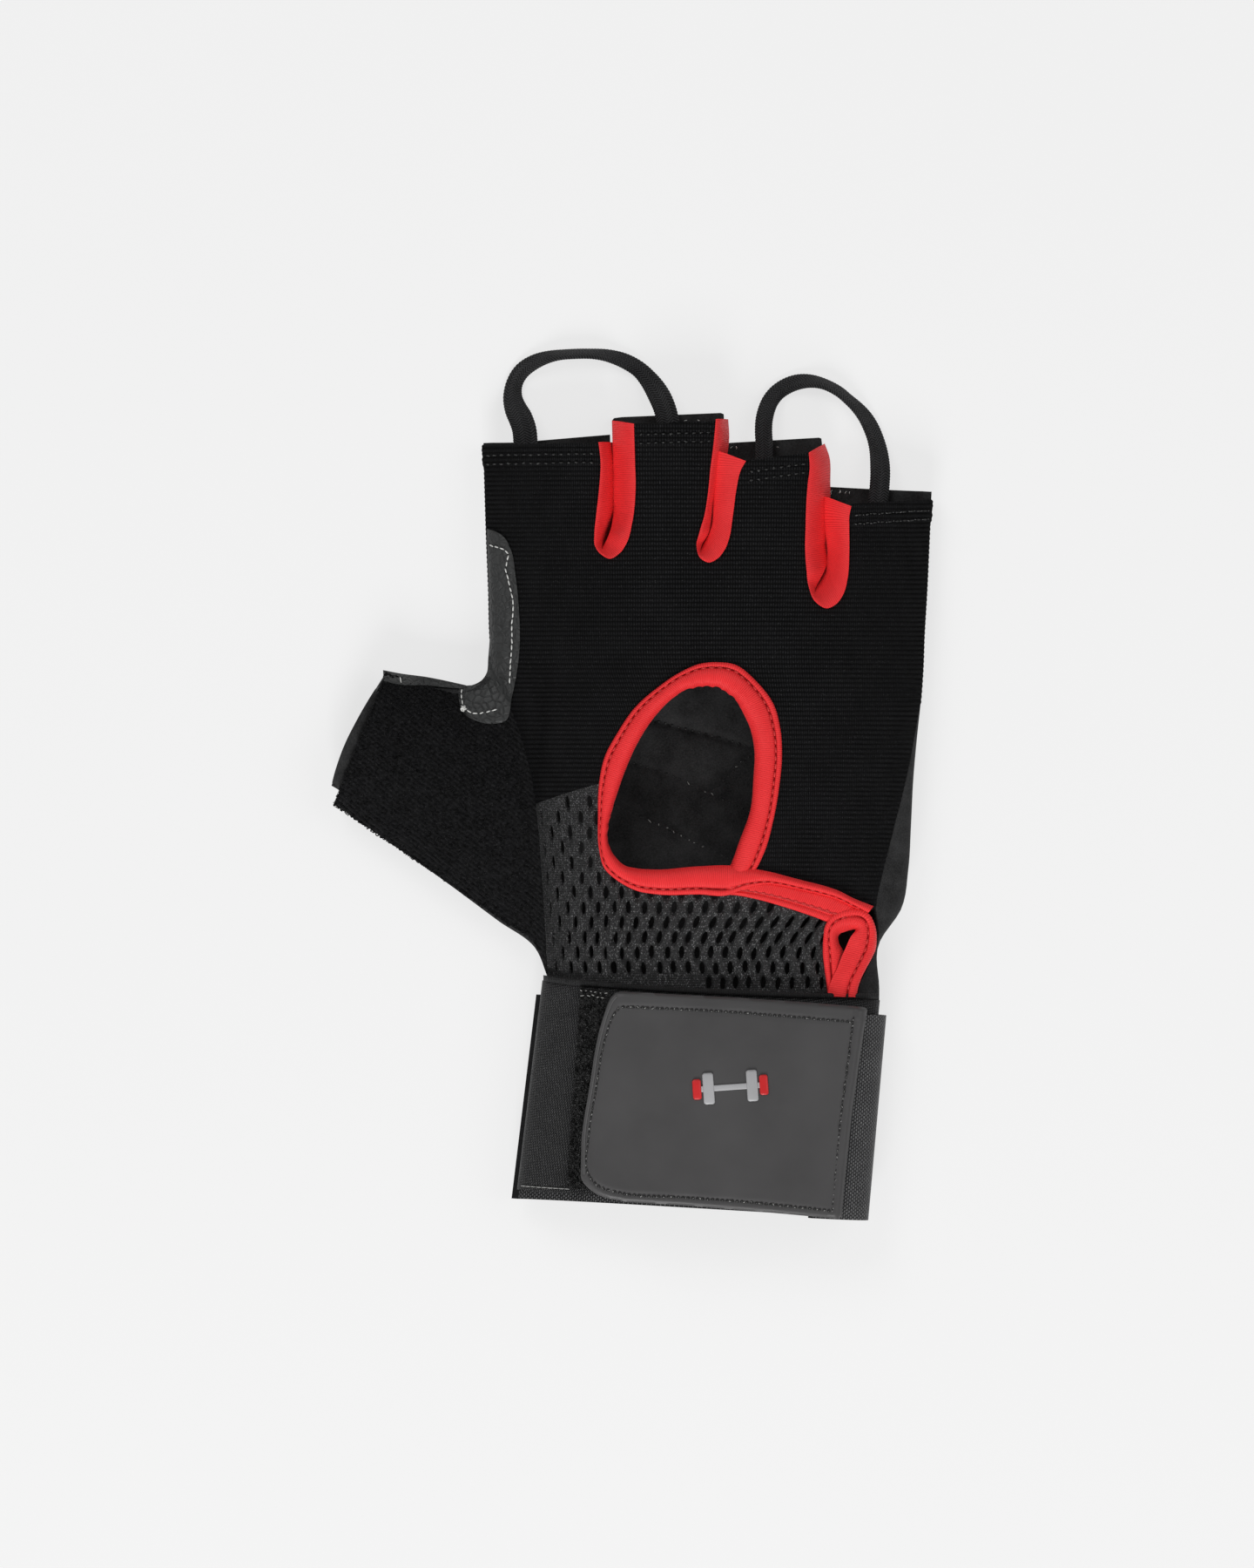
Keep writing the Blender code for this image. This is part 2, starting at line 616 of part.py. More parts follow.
def fold_tape(name, outer, inner, wall_thickness, rounds=3):
    """A tape that lies level along its outer edge and turns down to its inner edge."""
    across = inner[:, :2] - outer[:, :2]
    level = outer.copy()
    level[:, :2] += across / np.linalg.norm(across, axis=1, keepdims=True) * TAPE_LEVEL
    rows = [outer]
    for turn in np.linspace(0, math.pi / 2, rounds + 1):
        plan = level[:, :2] + (inner[:, :2] - level[:, :2]) * math.sin(turn)
        height = inner[:, 2] + (level[:, 2] - inner[:, 2]) * math.cos(turn)
        rows.append(np.column_stack([plan, height]))
    rims = np.zeros((len(rows), len(outer)), int)
    rims[0], rims[-1] = UPRIGHT_RIM, LEVEL_RIM
    return wall(name, skin_sheet([np.array(rows)], [rims], 1), "tape", wall_thickness)


def plain_sheet(rows):
    """An open sheet from rows of points, with no marked rim."""
    points = np.array(rows)
    return skin_sheet([points], [np.zeros(points.shape[:2], int)], 1)


def finger_gusset(index, row):
    """The red tape between two fingers, from the back layer down to the palm layer."""
    slot = dict(zip(SLOT_COLUMNS, row))
    left = dict(zip(FINGER_COLUMNS, FINGERS[index]))
    right = dict(zip(FINGER_COLUMNS, FINGERS[index + 1]))
    narrower = slot["half_width"] * HAND_WIDTH - GUSSET_GAP_WIDTH
    ends = (HAND_LENGTH * left["back_right"], HAND_LENGTH * right["back_left"])
    outer = slot_outline(slot, 0.0, *ends, 4, 8)
    inner = slot_outline(slot, narrower, *ends, 4, 8)
    top = back_height(outer[:, 0], outer[:, 1])
    foot = sole_height(inner[:, 0], inner[:, 1]) + PALM_WALL + GAP
    outer, inner = np.column_stack([outer, top]), np.column_stack([inner, foot])
    return fold_tape(f"finger_gusset_{index + 1}", outer, inner, GUSSET_WALL)


def slit_binding():
    """The red tape round the slit over the wrist."""
    outer = in_plan(SLIT_OUTSIDE)
    crotch = HAND_LENGTH * SLIT_FOLD_TOP
    side = np.linspace(-1, 1, len(outer))
    inner_y = np.minimum(outer[:, 1], crotch + SLIT_FOLD_WIDTH * np.cos(side * math.pi / 2))
    inner = np.column_stack([HAND_WIDTH * SLIT_FOLD_X + side * SLIT_FOLD_WIDTH, inner_y])
    top = back_height(outer[:, 0], outer[:, 1])
    foot = back_height(inner[:, 0], inner[:, 1]) - SLIT_DEPTH
    return fold_tape("slit_binding", np.column_stack([outer, top]), np.column_stack([inner, foot]), GUSSET_WALL)


def root_seam(shift, start=SEAM_START, end=SEAM_END):
    """The seam between hand and thumb, from start to end along the hand, moved to the right by shift."""
    knots = np.linspace(SEAM_START, SEAM_END, 14)
    along = np.concatenate([[start], knots[(knots > start) & (knots < end)], [end]])
    side = np.interp(along, knots, section(knots, "left"))
    return [(x + shift / HAND_WIDTH, y) for x, y in zip(side, along)]


def tips_line(layer):
    """Where a layer of the fingers ends, as one stepped line from the index to the little finger."""
    far = SECTIONS[-1][0]
    bounds = [-0.60] + [row[SLOT_COLUMNS.index("tip_middle")] for row in SLOTS] + [0.60]
    line = []
    for finger, left, right in zip(FINGERS, bounds[:-1], bounds[1:]):
        line.append((left, finger[FINGER_COLUMNS.index(layer + "_left")]))
        line.append((right, finger[FINGER_COLUMNS.index(layer + "_right")]))
    return [(x, min(y, far)) for x, y in line]


def knit_outline():
    """The knit back: up the left side, over the fingertips, down the right side and round the keyhole."""
    wrap = [(x - GAP / HAND_WIDTH, y) for y, x in WRAP_EDGE if y > 0.13]
    right = [(0.60, wrap[-1][1])] + wrap[::-1]
    left = root_seam(GAP / 2, NET_TOP[0][1])
    return left + [(-0.60, 0.70)] + tips_line("back") + right + [(0.240, 0.180), (0.120, 0.196), (0.0, 0.220)] + list(NET_TOP[::-1])


def net_outline():
    """The net below the keyhole, down to the cuff."""
    left = root_seam(GAP / 2, end=NET_TOP[0][1] - 0.012)
    right = [(0.0, 0.35), (0.0, 0.20), (0.110, 0.168), (0.240, 0.145), (0.276, 0.125), (0.30, 0.08), (0.30, -0.06)]
    return left + list(NET_TOP) + right


def net_holes(name):
    """A cutter of many small upright prisms in rows that step by half a pitch."""
    bm = bmesh.new()
    inside = grown(in_plan(net_outline()), -NET_BORDER)
    kept_clear = [
        grown(in_plan(KEYHOLE_OUTSIDE), NET_BORDER),
        grown(in_plan(MESH_TAPE_TOP + MESH_TAPE_FOOT), NET_BORDER),
        grown(in_plan(SLIT_OUTSIDE), NET_BORDER),
    ]
    x_low, y_low = inside.min(axis=0)
    x_high, y_high = inside.max(axis=0)
    rows, columns = int((y_high - y_low) / NET_PITCH) + 2, int((x_high - x_low) / NET_PITCH) + 2
    for row in range(rows):
        for step in range(columns):
            x = x_low + (step + 0.5 * (row % 2)) * NET_PITCH
            y = y_low + row * NET_PITCH
            cuff_y = -CUFF_SLOPE * x + NET_HOLE_LENGTH / 2 + NET_BORDER
            place = np.array((x, y))
            blocked = any(holds(outline, place, NET_HOLE_LENGTH / 2) for outline in kept_clear)
            if y < cuff_y or blocked or not holds(inside, place, -NET_HOLE_WIDTH / 2):
                continue
            hole = bmesh.ops.create_cone(bm, cap_ends=True, segments=4, radius1=1, radius2=1, depth=1)
            for vert in hole["verts"]:
                spoke = vert.co.copy()
                vert.co.x = x + spoke.x * NET_HOLE_WIDTH / 2
                vert.co.y = y + spoke.y * NET_HOLE_LENGTH / 2
                vert.co.z = spoke.z * 2 * HAND_HEIGHT
    mesh = bpy.data.meshes.new(name)
    bm.to_mesh(mesh)
    bm.free()
    return add_cutter(name, mesh, HAND_HEIGHT)


def holds(outline, place, reach):
    """Whether a closed outline holds a place, or comes within reach of it. A reach below 0 asks for room."""
    ends = np.roll(outline, -1, axis=0)
    crosses = (outline[:, 1] > place[1]) != (ends[:, 1] > place[1])
    drop = np.where(ends[:, 1] == outline[:, 1], 1, ends[:, 1] - outline[:, 1])
    x_there = outline[:, 0] + (place[1] - outline[:, 1]) / drop * (ends[:, 0] - outline[:, 0])
    within = np.count_nonzero(crosses & (place[0] < x_there)) % 2 == 1
    edge = ends - outline
    share = np.clip(np.sum((place - outline) * edge, axis=1) / np.sum(edge**2, axis=1), 0, 1)
    distance = np.linalg.norm(outline + share[:, None] * edge - place, axis=1).min()
    return (within or distance < reach) if reach > 0 else (within and distance > -reach)


def back_panels():
    """Every piece that is cut from the skin over the back of the hand and thumb."""
    skin = skin_sheet(*back_skin_points(), 1)
    keyhole = through("keyhole_cutter", KEYHOLE_OUTSIDE, GAP)
    hem_outline, mesh_tape_outline = HEM_TAPE_TOP + HEM_TAPE_FOOT, MESH_TAPE_TOP + MESH_TAPE_FOOT
    hem_cutter = through("hem_cutter", hem_outline, GAP)
    mesh_tape_cutter = through("mesh_tape_cutter", mesh_tape_outline, GAP)
    slit_cutter = through("slit_cutter", SLIT_OUTSIDE, GAP)
    patch_cutter = through("patch_cutter", PATCH, GAP)

    knit = wall("back_panel", skin, "knit", KNIT_WALL)
    cut(knit, through("knit_outline", knit_outline()), "INTERSECT")
    net_clearance = through("net_clearance", net_outline(), GAP)
    for cutter in (keyhole, hem_cutter, mesh_tape_cutter, slit_cutter, patch_cutter, net_clearance):
        cut(knit, cutter)
    for index, row in enumerate(SLOTS):
        slot = dict(zip(SLOT_COLUMNS, row))
        cut(knit, slot_cutter(f"back_slot_{index + 1}", slot, 0.0, GAP))

    net = wall("mesh_panel", skin, "net", MESH_WALL)
    cut(net, through("net_outline", net_outline()), "INTERSECT")
    for cutter in (keyhole, mesh_tape_cutter, slit_cutter):
        cut(net, cutter)
    cut(net, net_holes("net_holes"))

    terry = wall("thumb_back", skin, "terry", TERRY_WALL)
    cut(terry, through("terry_outline", thumb_outline(TERRY_INSET)), "INTERSECT")
    cut(terry, patch_cutter)

    patch = wall("crotch_patch", skin, "leather", TERRY_WALL, PATCH_RAISE)
    cut(patch, through("patch_outline", PATCH), "INTERSECT")

    ring = wall("keyhole_binding", skin, "tape", TAPE_WALL - TAPE_RAISE, TAPE_RAISE)
    cut(ring, through("ring_outline", KEYHOLE_OUTSIDE), "INTERSECT")
    cut(ring, through("ring_hole", KEYHOLE_INSIDE))

    hem = wall("hem_binding", skin, "tape", TAPE_WALL - TAPE_RAISE, TAPE_RAISE)
    cut(hem, through("hem_outline", hem_outline), "INTERSECT")
    cut(hem, keyhole)
    lower = wall("mesh_binding", skin, "tape", TAPE_WALL - TAPE_RAISE, TAPE_RAISE)
    cut(lower, through("mesh_tape_outline", mesh_tape_outline), "INTERSECT")
    for cutter in (keyhole, slit_cutter, hem_cutter):
        cut(lower, cutter)
    cut(hem, slit_cutter)


def thumb_outline(inset):
    """The thumb's side of the seam between thumb and hand, out to an inset from its opening."""
    seam = root_seam(-GAP / 2)
    upper, lower = np.array(THUMB_TIP_UPPER), np.array(THUMB_TIP_LOWER)
    out = (upper - lower) * (HAND_WIDTH, HAND_LENGTH)
    normal = np.array((out[1], -out[0])) / np.linalg.norm(out)
    shift = inset * normal / (HAND_WIDTH, HAND_LENGTH)
    reach = upper - lower
    return seam + [(-0.60, 0.70), tuple(upper + shift + 0.4 * reach), tuple(lower + shift - 0.4 * reach), (-0.60, -0.06)]


def palm_panels():
    """The palm with its wrap over the right side, and the palm side of the thumb."""
    skin = skin_sheet(*sole_skin_points(), -1)
    palm = wall("palm_panel", skin, "suede", PALM_WALL)
    outline = root_seam(GAP / 2) + [(-0.60, 0.70)] + tips_line("palm") + [(0.60, -0.10)]
    cut(palm, through("palm_outline", outline), "INTERSECT")
    for index, row in enumerate(SLOTS):
        slot = dict(zip(SLOT_COLUMNS, row))
        narrower = slot["half_width"] * HAND_WIDTH - GUSSET_GAP_WIDTH
        cut(palm, slot_cutter(f"palm_slot_{index + 1}", slot, narrower, 0.0))
    thumb = wall("thumb_palm", skin, "suede", PALM_WALL)
    cut(thumb, through("thumb_palm_outline", thumb_outline(-TERRY_INSET)), "INTERSECT")


def cuff_point(angle, down, offset):
    """A point on the cuff's outer face, moved out by offset. The angle starts at the right side and
    turns over the back; down is the share of the cuff's length below its top edge."""
    seam = section(np.array(0.0), "seam") * HAND_HEIGHT
    crown = section(np.array(0.0), "crown") * HAND_HEIGHT + CUFF_RAISE
    sole = ELASTIC_WALL + GAP
    half = CUFF_WIDTH / 2 * (1 + 0.02 * down) + offset
    cos, sin = np.cos(angle), np.sin(angle)
    across = half * np.sign(cos) * np.abs(cos) ** CUFF_SQUARENESS
    rise = np.where(sin > 0, crown - seam + offset, seam - sole + offset)
    height = seam + rise * np.sign(sin) * np.abs(sin) ** CUFF_SQUARENESS
    middle = (section(np.array(0.0), "left") + section(np.array(0.0), "right")) / 2 * HAND_WIDTH
    along = -GAP - down * CUFF_LENGTH
    x = middle + CUFF_LEAN * along + across
    y = along - CUFF_SLOPE * (middle + across)
    return np.stack([x, y, height + 0 * x], axis=-1)


def back_angle(across):
    """The angle on the cuff's back at a share of its half width."""
    return np.arccos(np.sign(across) * np.abs(across) ** (1 / CUFF_SQUARENESS))


def stations(first, last):
    """Angles round the cuff from first to last, at steps that all its layers share."""
    step = 2 * math.pi / CUFF_CELLS
    between = np.arange(math.floor(first / step) + 1, math.ceil(last / step)) * step
    between = between[(between > first + step / 8) & (between < last - step / 8)]
    return np.concatenate([[first], between, [last]])


def cuff_rows(angles, start, end, offset, rows=CUFF_ROWS):
    """Rows of points at the angles, from start to end down the cuff."""
    return [cuff_point(angles, share, offset) for share in np.linspace(start, end, rows + 1)]


def cuff_pieces():
    """The cuff, the strap that wraps over it, the closure strip and the tab."""
    ring = cuff_rows(stations(0.0, 2 * math.pi), 0.0, 1.0, 0.0)
    wall("cuff", plain_sheet(ring), "elastic", ELASTIC_WALL)

    strap_end, strap_start = back_angle(STRAP_TOP_END), -STRAP_REACH * 2 * math.pi / CUFF_CELLS
    strap = cuff_rows(stations(strap_start, strap_end), STRAP_START, STRAP_END, GAP + ELASTIC_WALL)
    wall("wrist_strap", plain_sheet(strap), "elastic", ELASTIC_WALL)

    closure_angles = stations(back_angle(CLOSURE_RIGHT), back_angle(CLOSURE_LEFT))
    closure = cuff_rows(closure_angles, CLOSURE_START, CLOSURE_END, GAP + CLOSURE_WALL)
    wall("closure_strip", plain_sheet(closure), "hook", CLOSURE_WALL)

    tab_offset = 2 * GAP + ELASTIC_WALL + TAB_WALL
    corner_x = TAB_CORNER * (1 - np.cos(np.linspace(0, math.pi / 2, 5)))
    corner_angles = back_angle(TAB_LEFT + corner_x / (CUFF_WIDTH / 2))
    plain_angles = stations(back_angle(TAB_RIGHT), corner_angles[-1])
    angles = np.concatenate([plain_angles, corner_angles[-2::-1]])
    trims = np.concatenate([np.zeros(len(plain_angles)), TAB_CORNER - np.sqrt(TAB_CORNER**2 - (TAB_CORNER - corner_x[-2::-1]) ** 2)])
    first, last = TAB_START + trims / CUFF_LENGTH, TAB_END - trims / CUFF_LENGTH
    tab = [cuff_point(angles, first + share * (last - first), tab_offset) for share in np.linspace(0, 1, CUFF_ROWS + 3)]
    wall("strap_tab", plain_sheet(tab), "rubber", TAB_WALL)


def loop_route(name):
    """The middle line of a pull loop: on the palm layer in the fingers, on the ground past them."""
    plan = in_plan(LOOP_ROUTES[name])
    inside = sole_height(plan[:, 0], plan[:, 1]) + PALM_WALL + LOOP_LIFT + LOOP_WIDTH / 2
    outside = LOOP_WIDTH / 2
    steps = np.linalg.norm(np.diff(plan, axis=0), axis=1)
    travelled = np.concatenate([[0], np.cumsum(steps)])
    from_foot = np.minimum(travelled, travelled[-1] - travelled)
    foot = np.clip((from_foot - LOOP_INSIDE) / LOOP_DESCENT, 0, 1)
    foot = foot**2 * (3 - 2 * foot)
    points = np.column_stack([plan, inside + (outside - inside) * foot])
    knots = travelled / travelled[-1]
    shares = np.linspace(0, 1, 26)
    return np.stack([smooth_curve(shares, knots, points[:, axis]) for axis in range(3)], axis=1)


def pull_loop(name):
    """A braided cord, sewn in at both ends."""
    curve = bpy.data.curves.new(name, "CURVE")
    curve.dimensions = "3D"
    curve.bevel_depth = LOOP_WIDTH / 2
    curve.bevel_resolution = 2
    curve.use_fill_caps = True
    route = loop_route(name)
    spline = curve.splines.new("POLY")
    spline.points.add(len(route) - 1)
    for point, place in zip(spline.points, route):
        point.co = (*place, 1)
    curve.materials.append(material("cord"))
    glove.objects.link(bpy.data.objects.new(name, curve))


def seat_on_origin():
    """Moves every piece, so that the glove without its cords stands over the origin."""
    bpy.context.view_layer.update()
    graph = bpy.context.evaluated_depsgraph_get()
    low, high = np.full(3, np.inf), np.full(3, -np.inf)
    for item in glove.objects:
        if item.type != "MESH":
            continue
        corners = np.array([vert.co for vert in item.evaluated_get(graph).data.vertices])
        low, high = np.minimum(low, corners.min(axis=0)), np.maximum(high, corners.max(axis=0))
    shift = ((low[0] + high[0]) / 2, (low[1] + high[1]) / 2, low[2])
    for item in list(glove.objects) + list(cutters.objects):
        item.location = np.array(item.location) - shift
    print("origin shift", [round(float(value), 6) for value in shift])


clear_scene()
glove = collection("weightlifting_glove")
cutters = collection("cutters")
back_panels()
palm_panels()
for slot_index, slot_row in enumerate(SLOTS):
    finger_gusset(slot_index, slot_row)
slit_binding()
cuff_pieces()
for loop_name in LOOP_ROUTES:
    pull_loop(loop_name)
seat_on_origin()
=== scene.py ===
"""The looks of the weightlifting glove: knit, net, towelling, suede, leather, red tape, elastic,
hook tape, a moulded tab and two braids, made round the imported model.

Lengths are metres, unless a comment says millimetres. The hand's own frame has x from the middle
of the hand and y from the top of the wrist cuff. Outlines that were read off the photograph are in
its pixels, and photo() turns them into the hand's frame. A piece's unrolled places are where its
points lie when its cloth is laid flat.
"""

import math

import bmesh
import bpy
import numpy as np
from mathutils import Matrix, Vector
from mathutils.bvhtree import BVHTree
from mathutils.geometry import delaunay_2d_cdt


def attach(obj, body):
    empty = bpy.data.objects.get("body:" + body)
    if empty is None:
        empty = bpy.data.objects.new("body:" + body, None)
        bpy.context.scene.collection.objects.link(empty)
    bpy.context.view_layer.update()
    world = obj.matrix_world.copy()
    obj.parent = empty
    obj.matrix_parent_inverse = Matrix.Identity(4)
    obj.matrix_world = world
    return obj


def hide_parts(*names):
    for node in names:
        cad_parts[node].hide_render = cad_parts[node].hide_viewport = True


MM = 0.001
# How long one unit of a piece's unrolled place is
UV_UNIT = 10 * MM

# Driving sizes of the glove, as in the part's source
HAND_WIDTH = 0.103
HAND_LENGTH = 0.130
HAND_HEIGHT = 0.0175
THUMB_SEAM_HEIGHT = 0.0062
THUMB_HEIGHT = 0.0128
CUFF_LENGTH = 0.048
CUFF_WIDTH = 0.0788
CUFF_SLOPE = 0.0587
CUFF_LEAN = 0.105
CUFF_RAISE = 0.0005
CUFF_SQUARENESS = 0.75
ELASTIC_WALL = 0.0015
TAB_WALL = 0.0018
GAP = 0.0003
CROTCH = 0.575
CROWN_JOIN = 0.62
SOLE_JOIN = 0.90
SOLE_FLAT = 0.62

# Where the hand's frame has its origin in the row frame
HAND_ORIGIN = Vector((0.017412, -0.039257, 0.0))

# The photograph: its size, the pixels over the hand's width, and the pixel at the hand's origin
PHOTO_SIZE = (1440, 1800)
PIXEL = HAND_WIDTH / 515
PHOTO_ORIGIN = (812.5, 1135)
CAMERA_HEIGHT = 2.0
VIEW_HEIGHT = 0.009

# Sections across the hand: places along it, its two sides, and the heights of its side seam,
# of its crown and of its sole
SECTION_COLUMNS = ("along", "left", "right", "seam", "crown", "sole")
SECTIONS = (
    (0.00, -0.354, 0.383, 0.52, 0.93, 0.115), (0.08, -0.360, 0.383, 0.49, 0.95, 0.055),
    (0.14, -0.364, 0.432, 0.47, 0.96, 0.015), (0.21, -0.370, 0.448, 0.46, 0.98, 0.000),
    (0.29, -0.378, 0.455, 0.46, 1.00, 0.000), (0.37, -0.391, 0.460, 0.46, 1.00, 0.000),
    (0.44, -0.413, 0.467, 0.46, 0.99, 0.000), (0.515, -0.448, 0.477, 0.45, 0.97, 0.000),
    (0.575, -0.481, 0.482, 0.43, 0.94, 0.000), (0.62, -0.486, 0.484, 0.42, 0.92, 0.000),
    (0.70, -0.489, 0.490, 0.40, 0.87, 0.000), (0.80, -0.494, 0.496, 0.37, 0.81, 0.000),
    (0.90, -0.498, 0.502, 0.35, 0.76, 0.000), (1.03, -0.503, 0.509, 0.33, 0.71, 0.000),
)

# Dents and folds in the back: place, spread along and across, turn in degrees, depth
DENT_COLUMNS = ("x", "y", "spread_x", "spread_y", "turn", "depth")
DENTS = (
    (-0.375, 0.47, 0.016, 0.130, -6.0, 0.110), (-0.330, 0.50, 0.022, 0.120, -4.0, -0.035),
    (-0.120, 0.62, 0.030, 0.080, 20.0, 0.030), (0.330, 0.30, 0.040, 0.060, -25.0, 0.025),
    (0.410, 0.16, 0.030, 0.050, -10.0, 0.050), (-0.215, 0.10, 0.010, 0.090, 4.0, 0.040),
)
SLOT_COLUMNS = ("crotch", "middle", "tip_middle", "half_width", "dip")
SLOTS = (
    (0.758, -0.222, -0.209, 0.041, 0.10), (0.754, 0.000, 0.043, 0.038, 0.10),
    (0.672, 0.262, 0.266, 0.046, 0.10),
)
WRAP_EDGE = (
    (-0.02, 0.333), (0.00, 0.336), (0.04, 0.358), (0.07, 0.376), (0.09, 0.382), (0.15, 0.375),
    (0.18, 0.382), (0.23, 0.397), (0.28, 0.413), (0.35, 0.436), (0.42, 0.455), (0.485, 0.470),
    (0.52, 0.480),
)

# The thumb's two edges between the hand and its opening, and the opening's two ends
THUMB_UPPER_EDGE = ((-0.504, 0.545), (-0.543, 0.533), (-0.600, 0.537), (-0.642, 0.545))
THUMB_LOWER_EDGE = ((-0.384, 0.071), (-0.466, 0.119), (-0.596, 0.195), (-0.728, 0.268))
THUMB_TIP_UPPER = (-0.721, 0.558)
THUMB_TIP_LOWER = (-0.839, 0.330)

# Middles of the pull loops in plan, from the left foot to the right one, as in the part's source
LOOP_ROUTES = {
    "pull_loop_index_middle": (
        (-0.407, 0.925), (-0.407, 0.964), (-0.411, 0.995), (-0.424, 1.027), (-0.426, 1.056),
        (-0.409, 1.085), (-0.378, 1.104), (-0.342, 1.115), (-0.300, 1.119), (-0.262, 1.117),
        (-0.228, 1.111), (-0.196, 1.101), (-0.162, 1.087), (-0.134, 1.067), (-0.112, 1.045),
        (-0.096, 1.018), (-0.088, 0.990), (-0.085, 0.960),
    ),
    "pull_loop_ring_little": (
        (0.126, 0.925), (0.127, 0.962), (0.126, 1.000), (0.134, 1.028), (0.148, 1.049),
        (0.167, 1.062), (0.190, 1.071), (0.216, 1.075), (0.244, 1.073), (0.268, 1.066),
        (0.290, 1.055), (0.311, 1.037), (0.332, 1.015), (0.350, 0.987), (0.365, 0.955),
        (0.374, 0.920), (0.377, 0.880), (0.378, 0.835),
    ),
}
PALM_WALL = 0.0020
LOOP_CORE = 0.0034
LOOP_INSIDE = 0.008
LOOP_DESCENT = 0.012
LOOP_LIFT = 0.0005
BRAID_WIDTH = 3.9 * MM
BRAID_THICKNESS = 1.3 * MM
BOW_SHARES = (0.0, 0.14, 0.30, 0.50, 0.68, 0.84, 1.0)
# The braid's strands lie in zigzag columns: how wide those are, the strands' slant and their pitch
BRAID_COLUMN = BRAID_WIDTH / 4
BRAID_SLANT = 0.9
BRAID_PITCH = 0.62 * MM

# How the hand's skin is unrolled: the radius that its half section has when laid out as an arc
FLAT_RADIUS = 0.0515
SIDE = FLAT_RADIUS * math.pi / 2

# Outlines in photograph pixels
TIPS_BACK = (
    ((553, 510), (687.6, 508.5)),
    ((727.6, 487), (822, 484)),
    ((856, 529.5), (929, 520)),
    ((977, 579), (1071, 573)),
)
TIPS_PALM = (
    ((553, 508), (588, 507), (700.5, 497.5)),
    ((705, 478.5), (714, 477.3), (828, 472.5)),
    ((838, 507), (941, 501)),
    ((950, 557.5), (1071, 564)),
)
HEM_TAPE_TOP = (
    (862, 996.5), (886, 1001), (905, 1006), (926, 1011.5), (944, 1016), (962, 1022), (980, 1031),
    (1002.5, 1040),
)
NET_TAPE = (
    (834, 1016, 832, 1026.5), (842, 1012.5, 842, 1027), (860, 1011.5, 858, 1029.5),
    (880, 1012.5, 877, 1034), (900, 1015.5, 896, 1039.5), (920, 1020, 915, 1045.5),
    (940, 1024.5, 934, 1052), (960, 1030, 950, 1058), (977, 1038, 965, 1062), (992, 1047, 974, 1062),
)
SLIT = (
    (950, 1141, 966, 1141), (948.9, 1131, 967, 1128), (946, 1109, 968, 1109), (944.4, 1091, 968, 1092),
    (945, 1075.6, 963, 1082), (946.7, 1063.3, 962, 1075), (953.3, 1052, 965, 1071),
    (962, 1046.7, 969, 1069.5), (971, 1043.9, 972, 1068.5), (982, 1043, 976, 1067.5),
    (991, 1045, 979.5, 1067), (997.8, 1050, 981.5, 1067), (1002.8, 1058.9, 981, 1069),
    (1005.6, 1070, 978, 1072.5), (1006, 1077.8, 975, 1077), (1005, 1088.9, 971, 1086),
    (1000, 1100, 966, 1097), (993.3, 1112, 960.5, 1111), (987.8, 1123, 954.5, 1123),
    (983.9, 1135.6, 950.5, 1136), (982.8, 1144, 949.4, 1143),
)
PATCH_EDGE = (
    (559, 607), (566, 609), (578, 616), (587, 632), (592, 660), (596, 700), (597, 740), (594, 770),
    (588, 800), (580, 828), (568, 831), (548, 828), (534, 820), (527, 803), (526.5, 787.5),
)
PATCH_SIDE = (
    (541, 786.5), (550, 785), (556, 780), (559, 772), (560.5, 755), (562.5, 725), (562, 700),
    (560.5, 660),
)
PATCH_STITCHES = (
    (
        (560.5, 625), (584, 636.5), (581, 650), (584, 668), (589, 688), (588, 718), (588, 740),
        (586.6, 760), (585, 786),
    ),
    ((530.5, 789), (530.5, 805), (535.6, 815), (543, 819), (558, 817.5), (573, 814)),
)
THUMB_EDGE_STITCH = ((458.5, 774), (461.5, 787))
THUMB_EDGE_STRIP = (
    (439.5, 769, 441, 784), (460, 773, 461, 788), (490, 777, 490, 788.5), (515, 782, 515, 790.5),
    (535, 786.5, 534, 791.5),
)
THUMB_RIM = (
    (443, 771, 451, 784), (430, 792, 444, 799), (411, 825, 430, 832), (396, 855, 417, 863),
    (385, 885, 405, 894), (380, 902, 397, 911),
)
